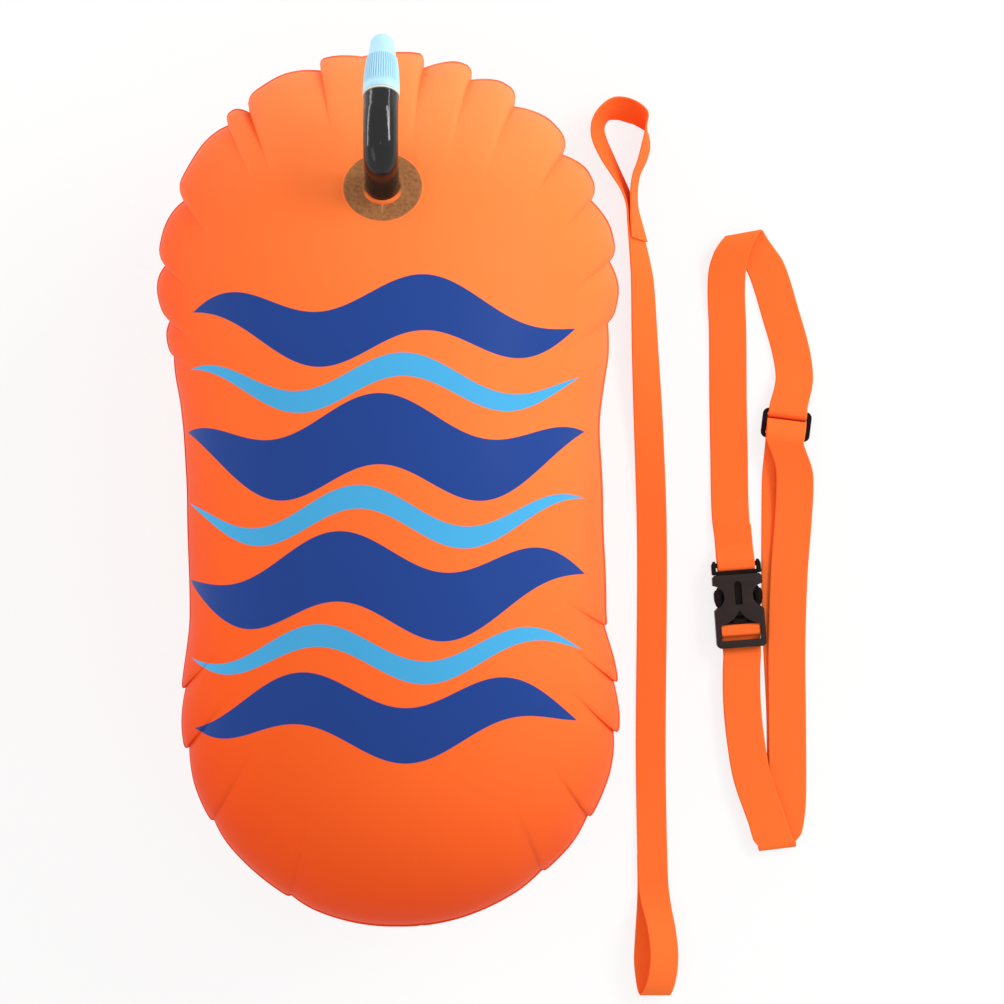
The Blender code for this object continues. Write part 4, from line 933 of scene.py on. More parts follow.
def grip_finish(colours, head, ribs):
    """Light plastic of the mouthpiece, with painted shade in the grooves between the ribs of its grip and in
    a line just under the band's top.
    """
    finish = moulded_finish("light_plastic", colours.mouthpiece, MOUTHPIECE_DRIFT_COLOUR, 0.36)
    _, x, y, z = finish.place()
    middle = head.translation
    up = (head.to_3x3() @ Vector((0, 0, 1))).normalized()
    side = (head.to_3x3() @ Vector((0, 1, 0))).normalized()
    height = (y - middle.y) * up.y + (z - middle.z) * up.z
    around = (y - middle.y) * side.y + (z - middle.z) * side.z
    turn = finish.node("ShaderNodeMath", {"operation": "ARCTAN2"}, {0: around, 1: x})
    groove_shade = ((turn * float(ribs) + 0.75 * math.pi).sin() * 0.5 + 0.5).step(0.60, 0.95)
    band_top = 2 * GAP + RING_HEIGHT + BAND_HEIGHT
    grip_top = band_top + GRIP_LENGTH
    on_grip = height.step(band_top + 0.0004, band_top + 0.0010)
    on_grip = on_grip * (1 - height.step(grip_top - 0.0012, grip_top - 0.0002))
    # Painted shade in a line just under the band's top edge, and in the grooves
    line = 1 - abs(height - (band_top - 0.0007)).step(0.0002, 0.0007)
    shade_share = (groove_shade * on_grip * 0.75).most(line * 0.55)
    finish.set(Base_Color=finish.mix(shade_share, finish.base(), colours.groove_shade))
    return finish


# Bag shape


class BagShape:
    """The inflated bag's form: the solid's, with finer lobes, a slight lean and a fuller outline."""

    def __init__(self, sizes, flange_radius):
        self.sizes = sizes
        self.flange_radius = flange_radius
        self.seam_height = sizes.depth / 2 - REST_FLAT_DEPTH
        self.notch_places = [(Vector(self.outline(share)), depth) for share, depth in NOTCHES]
        self.lobes = self.measure_lobes()
        self.valve_seat = self.seat_frame(VALVE_PLACE, FRONT)
        self.tow_seat = self.seat_frame(TOW_PLACE, BACK)

    def half_width(self, y):
        sizes = self.sizes
        width = sizes.waist_half_width
        width += (sizes.top_half_width - sizes.waist_half_width) * smooth_step(*TOP_BULGE, y)
        width += (sizes.low_half_width - sizes.waist_half_width) * smooth_step(*LOW_BULGE, y)
        for start, end in ((TOP_ROUND_START, sizes.length / 2), (LOW_ROUND_START, -sizes.length / 2)):
            share = (y - start) / (end - start)
            if share > 0:
                width *= math.sqrt(max(0.0, 1 - share * share))
        return width

    def outline(self, turn_share):
        angle = 2 * math.pi * turn_share
        y = self.sizes.length / 2 * math.sin(angle)
        return (1 if math.cos(angle) >= 0 else -1) * self.half_width(y), y

    def rise(self, x, y):
        half_width = self.half_width(y)
        across = min(1.0, abs(x) / half_width) if half_width > GAP else 1.0
        along = min(1.0, abs(y) / (self.sizes.length / 2)) ** END_FALL_POWER
        return self.sizes.depth / 2 * (1 - along) ** END_ROOT_POWER * math.sqrt(1 - across * across)

    def seat_frame(self, y, side):
        """Frame of a flat seat in the film. Its Z axis stands off the film."""
        step = self.sizes.film
        slope = (self.rise(0, y + step) - self.rise(0, y - step)) / (2 * step)
        tilt = math.atan(-slope)
        turn = -tilt if side == FRONT else math.pi + tilt
        off_seam = GAP / 2 + self.sizes.film + self.rise(0, y)
        surface = Matrix.Translation((0, y, self.seam_height + side * off_seam))
        return surface @ Matrix.Rotation(turn, 4, "X") @ Matrix.Translation((0, 0, -SEAT_SINK))

    def measure_lobes(self):
        """Each lobe of the weld: its start and end, the depths of both notches, and its length so far."""
        lobes = []
        first_again = (NOTCHES[0][0] + 1, NOTCHES[0][1])
        for (start, start_depth), (end, end_depth) in zip(NOTCHES, NOTCHES[1:] + (first_again,)):
            shares = [start + (end - start) * n / LOBE_SAMPLES for n in range(LOBE_SAMPLES + 1)]
            samples = [Vector(self.outline(share)) for share in shares]
            run = [0.0]
            for first, last in zip(samples, samples[1:]):
                run.append(run[-1] + (last - first).length)
            lobes.append((start, end, start_depth, end_depth, run))
        return lobes

    def lobe_at(self, turn_share):
        """The share of the turn counted from the first notch, and the lobe that it is in."""
        share = turn_share if turn_share >= NOTCHES[0][0] else turn_share + 1
        return share, next(lobe for lobe in self.lobes if share < lobe[1] or lobe[1] > 1)

    def dip(self, turn_share):
        """How deep the notches draw a point in: a lobe rises slowly from one and curls in at the other."""
        share, (start, end, start_depth, end_depth, run) = self.lobe_at(turn_share)
        place = (share - start) / (end - start) * LOBE_SAMPLES
        number = min(LOBE_SAMPLES - 1, int(place))
        along = run[number] + (run[number + 1] - run[number]) * (place - number)
        on_right = math.cos(math.pi * (start + end)) > 0
        slow, slow_depth = (run[-1] - along, end_depth) if on_right else (along, start_depth)
        quick, quick_depth = (along, start_depth) if on_right else (run[-1] - along, end_depth)
        slow_reach = SHALLOW_REACH_SHARE + (1 - SHALLOW_REACH_SHARE) * slow_depth
        quick_reach = SHALLOW_REACH_SHARE + (1 - SHALLOW_REACH_SHARE) * quick_depth
        longest = run[-1] * (RIGHT_SHOULDER_SHARE if on_right else LEFT_SHOULDER_SHARE)
        rise_power = RIGHT_RISE_POWER if on_right else LEFT_RISE_POWER
        shoulder = min(self.sizes.shoulder * slow_reach, longest)
        curl = min(self.sizes.curl * quick_reach, run[-1] * CURL_SHARE)
        fall = max(0.0, 1 - quick / curl)
        dip = slow_depth * max(0.0, 1 - slow / shoulder) ** rise_power
        return self.sizes.notch_depth * max(dip, quick_depth * (1 - math.sqrt(1 - fall * fall)))

    def rim_shade_share(self, turn_share):
        """How much painted shade darkens the weld's rim here: on the outer part of a lobe, and none along the
        waist.
        """
        share, (start, end, _, _, run) = self.lobe_at(turn_share)
        if run[-1] > WAIST_LOBE_LENGTH:
            return 0.0
        along = (share - start) / (end - start)
        if math.cos(math.pi * (start + end)) > 0:
            along = 1 - along
        middle = (start + end) / 2
        low_end = smooth_step(0.55, 0.62, middle) * (1 - smooth_step(0.86, 0.90, middle))
        return smooth_step(0.15, 0.55, along) * (1 - smooth_step(0.70, 0.94, along)) * (1 - low_end)

    def laid(self, x, y, out_share):
        """Moves a point of the film to where the bag lies: a little askew, and fuller at the weld."""
        before, after = next((a, b) for a, b in zip(LIE, LIE[1:]) if y < b[0] or b is LIE[-1])
        share = smooth_step(before[0], after[0], y)
        lean = before[1] + (after[1] - before[1]) * share
        fuller = before[2] + (after[2] - before[2]) * share
        out = smooth_step(0.3, 1, out_share)
        side = max(-1.0, min(1.0, x / max(self.half_width(y), GAP)))
        return x + lean + fuller * side * out, y + FULLER_ALONG * y / (self.sizes.length / 2) * out

    def pucker(self, x, y):
        """Creases that run in from the notches, each a valley between two soft ridges."""
        lift = 0.0
        for notch, depth in self.notch_places:
            inward = -notch.normalized()
            away = Vector((x, y)) - notch
            along = away.dot(inward)
            if along < -0.004 or along > 0.030:
                continue
            across = abs(away.x * inward.y - away.y * inward.x)
            width = 0.0014 + 0.10 * max(0.0, along)
            fade = (1 - smooth_step(0.006, 0.030, along)) * smooth_step(-0.004, 0.003, along)
            valley = math.exp(-((across / width) ** 2))
            ridge = 0.45 * math.exp(-(((across - 1.9 * width) / width) ** 2))
            lift -= self.sizes.pucker_depth * depth * fade * (valley - ridge)
        return lift

    def turn_shares(self):
        """Shares of the turn along the weld. Every notch is one, and they crowd towards the notches."""
        total = sum(lobe[4][-1] for lobe in self.lobes)
        shares = []
        for start, end, _, _, run in self.lobes:
            count = max(12, 4 * round(self.sizes.lobe_points * run[-1] / total / 4))
            for number in range(count):
                even = number / count
                crowded = (1 - math.cos(math.pi * even)) / 2
                shares.append((start + (end - start) * (0.35 * even + 0.65 * crowded)) % 1)
        return shares

    def film_point(self, turn_share, out_share, side):
        """A point of the outer film. out_share is 1 at the weld and 0 in the middle."""
        edge = Vector(self.outline(turn_share))
        dip = self.dip(turn_share)
        near_edge = smooth_step(DRAWN_FROM_SHARE, 1, out_share)
        drawn = out_share * (1 - dip * near_edge / edge.length)
        rise = self.rise(edge.x * out_share, edge.y * out_share)
        x, y = edge.x * drawn, edge.y * drawn
        rise += self.pucker(x, y) * smooth_step(0.0, 0.010, rise)
        ripple = noise.noise(Vector((x * RIPPLE_RATE, y * RIPPLE_RATE, side * 2.7))) * RIPPLE_DEPTH
        rise += ripple * smooth_step(0, 0.02, rise)
        z = self.seam_height + side * (GAP / 2 + self.sizes.film + rise)
        if side == BACK:
            z = (z + math.sqrt(z * z + FLOOR_SOFTNESS)) / 2
        x, y = self.laid(x, y, out_share)
        return self.pressed(Vector((x, y, z)), side)

    def pressed(self, place, side):
        """Presses the film flat under the valve's disc and the tow patch."""
        seat = self.valve_seat if side == FRONT else self.tow_seat
        radius = self.flange_radius + PRESS_MARGIN if side == FRONT else PATCH_RADIUS - PRESS_DEPTH
        level = -PRESS_DEPTH if side == FRONT else 0.0
        local = seat.inverted() @ place
        if abs(local.z) < PRESS_REACH and math.hypot(local.x, local.y) < radius:
            local.z = min(local.z, level)
            return seat @ local
        return place

    def film(self, name, side):
        """One half of the bag as an open shell of rings, with its weld flange."""
        shares = self.turn_shares()
        outs = [math.sin(math.pi / 2 * n / self.sizes.rings) for n in range(self.sizes.rings, 0, -1)]
        places = []
        rings = []
        for width in (self.sizes.weld_width, self.sizes.weld_width * 0.3):
            flange = []
            for share in shares:
                point = self.film_point(share, 1, side)
                flange.append(len(places))
                places.append(point + Vector((point.x, point.y, 0)).normalized() * width)
            rings.append(flange)
        step = 1
        for number, out in enumerate(outs):
            if out < 0.72 and step == 1 or out < 0.36 and step == 2:
                step *= 2
            ring = []
            for share in shares[::step]:
                ring.append(len(places))
                places.append(self.film_point(share, out, side))
            rings.append(ring)
        faces = []
        for outer, inner in zip(rings, rings[1:]):
            count = len(inner)
            for n in range(count):
                if len(outer) == count:
                    faces.append((outer[n], outer[(n + 1) % count], inner[(n + 1) % count], inner[n]))
                else:
                    first, middle, last = outer[2 * n], outer[2 * n + 1], outer[(2 * n + 2) % len(outer)]
                    faces.append((first, middle, inner[n]))
                    faces.append((middle, inner[(n + 1) % count], inner[n]))
                    faces.append((middle, last, inner[(n + 1) % count]))
        centre = len(places)
        places.append(self.film_point(shares[0], 0, side))
        last_ring = rings[-1]
        faces += [(last_ring[n], last_ring[(n + 1) % len(last_ring)], centre) for n in range(len(last_ring))]
        if side == BACK:
            faces = [tuple(reversed(face)) for face in faces]
        piece = new_piece(name)
        fill_piece(piece, places, faces)
        rim = piece.data.attributes.new("weld_rim_painted_shade", "FLOAT", "POINT")
        for number, share in enumerate(shares):
            rim.data[number].value = self.rim_shade_share(share)
        return piece


def open_round(piece, seat, radius):
    """Takes the film's faces out of a circle round a seat."""
    choose(piece)
    bpy.ops.object.mode_set(mode="EDIT")
    work = bmesh.from_edit_mesh(piece.data)
    turned_back = seat.inverted()
    for face in work.faces:
        local = turned_back @ face.calc_center_median()
        face.select_set(abs(local.z) < PRESS_REACH and math.hypot(local.x, local.y) < radius)
    bmesh.update_edit_mesh(piece.data)
    bpy.ops.mesh.delete(type="FACE")
    bpy.ops.object.mode_set(mode="OBJECT")


def give_wall(piece, thickness, offset=-1.0):
    wall = piece.modifiers.new("wall", "SOLIDIFY")
    wall.thickness = thickness
    wall.offset = offset
    apply_modifiers(piece)


# Webbing shape


def sample_route(rows, spans):
    """Stations on a smooth curve through rows of numbers, a number of steps for each span."""
    stations = []
    last = len(rows) - 1
    for number in range(last):
        before = Vector(rows[max(0, number - 1)])
        start = Vector(rows[number])
        end = Vector(rows[number + 1])
        after = Vector(rows[min(last, number + 2)])
        out_slope = (end - before) / 2
        in_slope = (after - start) / 2
        reach = (end - start).length
        out_slope *= min(1.0, reach / max(out_slope.length, GAP))
        in_slope *= min(1.0, reach / max(in_slope.length, GAP))
        for step in range(spans):
            t = step / spans
            stations.append(
                start * (2 * t**3 - 3 * t**2 + 1)
                + out_slope * (t**3 - 2 * t**2 + t)
                + end * (-2 * t**3 + 3 * t**2)
                + in_slope * (t**3 - t**2)
            )
    stations.append(Vector(rows[-1]))
    return stations


def section(width, thickness):
    """Half outline of woven webbing, from its left edge over the top: flat, with a fuller rounded selvage."""
    half = thickness / 2
    edge = -width / 2
    rows = [(edge, 0.0), (edge + half * 0.35, half * 0.80)]
    rows += [(edge + half * 1.1, half * 1.00), (edge + half * 2.6, half * 0.86)]
    rows += [(width * share, half * 0.90) for share in (-0.28, 0.0, 0.28)]
    rows += [(-x, z) for x, z in reversed(rows[:4])]
    return rows


def framed(stations):
    """The length so far, place, side and upward way at each of the stations, which are (place, across)."""
    made = []
    run = 0.0
    for number, (place, across) in enumerate(stations):
        before = stations[max(0, number - 1)][0]
        after = stations[min(len(stations) - 1, number + 1)][0]
        if number:
            run += (place - before).length
        tangent = (after - before).normalized()
        made.append((run, place, across, across.cross(tangent).normalized()))
    return made


def strap(name, stations, width, thickness, spread=None):
    """Lofts webbing through framed stations, with its UV in metres along and across."""
    top = section(width, thickness)
    ring = top + [(x, -z) for x, z in reversed(top[1:-1])]
    places, uvs, faces = [], [], []
    count = len(ring)
    for run, place, side, up in stations:
        wide = spread(place) if spread else 1.0
        for x, z in ring:
            places.append(place - side * x * wide + up * z)
            uvs.append((run, x))
    for number in range(len(stations) - 1):
        for corner in range(count):
            low, following = number * count + corner, number * count + (corner + 1) % count
            faces.append((low, low + count, following + count, following))
    faces.append(tuple(range(count)))
    faces.append(tuple(reversed(range(len(places) - count, len(places)))))
    piece = new_piece(name)
    fill_piece(piece, places, faces)
    layer = piece.data.uv_layers.new(name="UVMap")
    for loop in piece.data.loops:
        layer.data[loop.index].uv = uvs[loop.vertex_index]
    choose(piece)
    bpy.ops.object.mode_set(mode="EDIT")
    bpy.ops.mesh.select_all(action="SELECT")
    bpy.ops.mesh.normals_make_consistent(inside=False)
    bpy.ops.object.mode_set(mode="OBJECT")
    shade(piece, 60)
    return piece


def leash_stations(width, thickness, spans):
    rows = []
    for x, y, lift, lean_x, lean_y in LEASH_ROUTE:
        upright = math.sqrt(max(0.0, 1 - lean_x * lean_x - lean_y * lean_y))
        z = lift + upright * width / 2 + math.hypot(lean_x, lean_y) * thickness / 2
        rows.append((x, y, z, lean_x, lean_y, upright))
    places = sample_route([row[:3] for row in rows], spans)
    ways = sample_route([row[3:] for row in rows], spans)
    return framed([(place, way.normalized()) for place, way in zip(places, ways)])


def in_frame(place_frame, places):
    across = place_frame.to_3x3() @ Vector((-1, 0, 0))
    return [(*(place_frame @ Vector((0, along, height))), across.x, across.y) for along, height in places]


def fold_rows(low_layer, count):
    middle = (LAYER_TWO + LAYER_THREE) / 2
    stack = middle - low_layer
    place_frame = Matrix.Translation((*BELT_FOLD_PLACE, middle)) @ Matrix.Rotation(BELT_FOLD_TURN, 4, "Z")
    angles = [math.radians(-90 + 180 * n / (count - 1)) for n in range(count)]
    bulge = stack * BELT_FOLD_BULGE
    return in_frame(place_frame, [(-bulge * math.cos(a), stack * math.sin(a)) for a in angles])


def belt_sections():
    """The belt's rows in lengths that are cut where its pieces meet, each with its name."""
    half = BELT_THICKNESS / 2
    wrap = PLUG_BAR_RADIUS + GAP + half
    tail_far = PLUG_BAR_Y + BELT_TAIL
    floor = LAYER_ONE - BUCKLE_HEIGHT
    plug_end = in_frame(
        BUCKLE_FRAME,
        [
            (tail_far, floor),
            (tail_far - BELT_TAIL / 3, floor),
            (PLUG_BAR_Y + wrap * 3, floor + wrap / 2),
            (PLUG_BAR_Y + wrap / 2, -wrap),
            (PLUG_BAR_Y - wrap * 0.80 - PLUG_TURN_SIDE, -wrap * 0.74),
            (PLUG_BAR_Y - wrap * 1.17 - PLUG_TURN_OUT, 0),
            (PLUG_BAR_Y - wrap * 0.80 - PLUG_TURN_SIDE, wrap * 0.74),
            (PLUG_BAR_Y, wrap),
            (PLUG_BAR_Y + wrap * 1.5, wrap * 0.92),
            (PLUG_BAR_Y + wrap * 4.5, floor + BELT_PITCH + half),
            (tail_far - BELT_TAIL / 3, floor + BELT_PITCH),
        ],
    )
    upper = in_frame(ADJUSTER_FRAME, ADJUSTER_UPPER)
    under = in_frame(ADJUSTER_FRAME, [(0, ADJUSTER_UNDER)])
    lower = in_frame(ADJUSTER_FRAME, [(-along, height) for along, height in reversed(ADJUSTER_UPPER)])
    sewn = in_frame(ADJUSTER_FRAME, ADJUSTER_SEWN)
    sewn_tail = [(x, y, z - BELT_PITCH, *across) for x, y, z, *across in BELT_FRONT[-1:-3:-1]]
    bar_low = INNER_BAR_Y - INNER_BAR_WIDTH / 2
    bar_high = INNER_BAR_Y + INNER_BAR_WIDTH / 2
    layer_b = INNER_BAR_BOTTOM + half
    layer_a = INNER_BAR_BOTTOM - GAP - half - GAP
    rim = SOCKET_END + RIM_WIDTH / 2
    socket = in_frame(
        BUCKLE_FRAME,
        [
            (SOCKET_END - RIM_WIDTH, LAYER_FOUR - BUCKLE_HEIGHT + GAP),
            (rim, layer_b),
            (bar_low - BELT_PITCH, layer_b + BELT_THICKNESS),
            (bar_low, INNER_BAR_TOP + GAP + half),
            (INNER_BAR_Y, INNER_BAR_TOP + 2 * GAP + half),
            (bar_high + INNER_TURN_SIDE, INNER_BAR_TOP + GAP + half),
            (bar_high + GAP + half + INNER_TURN_OUT, 0),
            (bar_high + INNER_TURN_SIDE, layer_a + GAP),
            (INNER_BAR_Y, layer_a),
            (rim, layer_a),
            (SOCKET_END - RIM_WIDTH, LAYER_THREE - BUCKLE_HEIGHT),
        ],
    )
    low_fold = fold_rows(LAYER_ONE, 7) + list(BELT_TOP_LEFT) + socket + list(BELT_LOW_LEFT)
    low_fold += list(reversed(fold_rows(LAYER_TWO, 5)))
    return (
        ("belt_plug_end", plug_end + list(BELT_LEFT[:5])),
        ("belt_top_fold", list(BELT_LEFT[5:18])),
        ("belt_adjuster_entry", list(BELT_LEFT[18:]) + upper + under),
        ("belt_adjuster_exit", lower + list(BELT_REAR[:4])),
        ("belt_low_fold", list(BELT_REAR[4:]) + low_fold + list(BELT_FRONT[:6])),
        ("belt_sewn_end", list(BELT_FRONT[6:]) + sewn + sewn_tail),
    )


def belt_pieces(spans):
    """Framed stations of each length of the belt, with the last station of one as the first of the next."""
    sections = belt_sections()
    rows = [row for _, part_rows in sections for row in part_rows]
    places = sample_route([row[:3] for row in rows], spans)
    ways = sample_route([(*row[3:], 0) for row in rows], spans)
    stations = framed([(place, way.normalized()) for place, way in zip(places, ways)])
    pieces = []
    first = 0
    for name, part_rows in sections:
        last = min(first + len(part_rows), len(rows) - 1)
        pieces.append((name, stations[first * spans : last * spans + 1]))
        first = last
    return pieces


def belt_spread(place):
    """How much wider the belt is here than elsewhere: it fills the buckle's window and the adjuster."""
    wider = 1.0
    for middle, spread, reach in (
        (BUCKLE_FRAME @ Vector((0, INNER_BAR_Y, INNER_BAR_TOP)), WINDOW_SPREAD, WINDOW_REACH),
        (ADJUSTER_FRAME.translation, ADJUSTER_SPREAD, ADJUSTER_REACH),
    ):
        wider += spread * math.exp(-(((place - middle).length / reach) ** 2))
    return wider


def tow_loop_stations(seat, spans):
    foot = PATCH_THICKNESS + 2 * GAP + TOW_WEB_THICKNESS / 2
    rows = [(TOW_LOOP_HALF_LENGTH * along, foot + TOW_LOOP_STAND * rise) for along, rise in TOW_LOOP_SHARES]
    rows += [(-along, height) for along, height in reversed(rows[:-1])]
    across = (seat.to_3x3() @ Vector((1, 0, 0))).normalized()
    places = sample_route([seat @ Vector((0, along, height)) for along, height in rows], spans)
    return framed([(place, across) for place in places])


def stitch_rows(name, lines, length, thread, up):
    """Sewing thread along lines of points: short rounded stitches with a gap between them."""
    stitches = []
    for points in lines:
        for start, end in zip(points, points[1:]):
            count = max(1, round((end - start).length / length))
            for number in range(count):
                first = start.lerp(end, (number + 0.12) / count)
                last = start.lerp(end, (number + 0.88) / count)
                stitches.append((first, last))
    piece = new_piece(name)
    places, faces = [], []
    shares = ((0.0, 0.25), (0.15, 0.85), (0.5, 1.0), (0.85, 0.85), (1.0, 0.25))
    for first, last in stitches:
        along = (last - first).normalized()
        side = along.cross(up).normalized()
        base = len(places)
        for share, full in shares:
            middle = first.lerp(last, share) + up * thread * (0.25 * full - 0.10)
            for corner in range(6):
                angle = math.pi / 3 * corner
                places.append(
                    middle
                    + side * math.cos(angle) * thread / 2 * full
                    + up * math.sin(angle) * thread / 2 * full
                )
        for ring in range(len(shares) - 1):
            for corner in range(6):
                low, following = base + ring * 6 + corner, base + ring * 6 + (corner + 1) % 6
                faces.append((low, following, following + 6, low + 6))
        faces.append(tuple(reversed(range(base, base + 6))))
        faces.append(tuple(range(base + 24, base + 30)))
    fill_piece(piece, places, faces)
    choose(piece)
    bpy.ops.object.mode_set(mode="EDIT")
    bpy.ops.mesh.select_all(action="SELECT")
    bpy.ops.mesh.normals_make_consistent(inside=False)
    bpy.ops.object.mode_set(mode="OBJECT")
    shade(piece, 60)
    return piece


# Operators


def sizes_of(context, *names):
    """The scene's groups of sizes or colours with these names."""
    return [getattr(context.scene, "buoy_" + name) for name in names]


class BUOY_OT_front_film(bpy.types.Operator):
    """Upper film of the bag, with its half of the weld and the film over the valve's flange"""

    bl_idname = "buoy.front_film"
    bl_label = "Upper film"

    def execute(self, context):
        bag, valve, colours = sizes_of(context, "bag", "valve", "colours")
        shape = BagShape(bag, valve.flange_radius)
        film = shape.film("front_film", FRONT)
        open_round(film, shape.valve_seat, FILM_OPENING)
        give_wall(film, bag.film)
        hole = valve.tube_radius - COLLAR_SQUEEZE
        collar = hole + COLLAR_WALL
        edge = valve.flange_radius + SKIRT_MARGIN
        profile = [
            (hole, COLLAR_HEIGHT),
            (collar, COLLAR_HEIGHT),
            (collar + SEAT_ROUND, 0.0),
            (edge - SEAT_ROUND, 0.0),
            (edge, -SEAT_ROUND),
            (edge, -SKIRT_DROP),
            (edge - bag.film, -SKIRT_DROP),
            (edge - bag.film, -bag.film),
            (hole, -bag.film),
        ]
        seat = turned("valve_seat_film", rounded(profile, SEAT_ROUND), TURN_STEPS)
        apply_place(seat, shape.valve_seat)
        film = join([film, seat], "front_film")
        shade(film, 42)
        film_finish(colours, shape, True).put_on(film)
        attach(film, "bag")
        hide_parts("front_panel")
        return {"FINISHED"}


class BUOY_OT_back_film(bpy.types.Operator):
    """Lower film of the bag, flat where it rests"""

    bl_idname = "buoy.back_film"
    bl_label = "Lower film"

    def execute(self, context):
        bag, valve, colours = sizes_of(context, "bag", "valve", "colours")
        shape = BagShape(bag, valve.flange_radius)
        film = shape.film("back_film", BACK)
        give_wall(film, bag.film)
        shade(film, 42)
        film_finish(colours, shape, False).put_on(film)
        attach(film, "bag")
        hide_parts("back_panel")
        return {"FINISHED"}


class BUOY_OT_tow_point(bpy.types.Operator):
    """Welded patch and sewn loop that the leash is tied to"""

    bl_idname = "buoy.tow_point"
    bl_label = "Tow point"

    def execute(self, context):
        bag, valve, webbing, buckle, colours = sizes_of(
            context, "bag", "valve", "webbing", "buckle", "colours"
        )
        shape = BagShape(bag, valve.flange_radius)
        seat = shape.tow_seat
        profile = [
            (0, GAP + PATCH_THICKNESS),
            (PATCH_RADIUS - 0.0042, GAP + PATCH_THICKNESS),
            (PATCH_RADIUS - 0.0034, GAP + PATCH_THICKNESS * 0.55),
            (PATCH_RADIUS - 0.0020, GAP + PATCH_THICKNESS * 0.55),
            (PATCH_RADIUS - 0.0012, GAP + PATCH_THICKNESS),
            (PATCH_RADIUS, GAP + PATCH_THICKNESS * 0.7),
            (PATCH_RADIUS, GAP),
            (0, GAP),
        ]
        patch = turned("tow_patch_welded", rounded(profile, SEAT_ROUND), TURN_STEPS)
        apply_place(patch, seat)
        shade(patch, 42)
        film_finish(colours, shape, False).put_on(patch)
        loop = strap("tow_loop_web", tow_loop_stations(seat, 8), TOW_WEB_WIDTH, TOW_WEB_THICKNESS)
        webbing_finish(colours, webbing, TOW_WEB_WIDTH).put_on(loop)
        up = (seat.to_3x3() @ Vector((0, 0, 1))).normalized()
        top = PATCH_THICKNESS + 2 * GAP + TOW_WEB_THICKNESS
        lines = []
        for end in (-1, 1):
            near, far = end * TOW_LOOP_HALF_LENGTH * 0.66, end * TOW_LOOP_HALF_LENGTH * 0.93
            for along in (near, (near + far) / 2, far):
                lines.append([seat @ Vector((x, along, top)) for x in (-0.0086, 0.0086)])
        stitches = stitch_rows("tow_stitches", lines, buckle.stitch, buckle.thread, up)
        thread_finish(colours).put_on(stitches)
        for piece, node, slot in (
            (patch, "tow_patch", "film_orange"),
            (loop, "tow_loop", "web_orange"),
            (stitches, None, "web_orange"),
        ):
            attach(piece, "bag")
            if node:
                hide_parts(node)
        return {"FINISHED"}


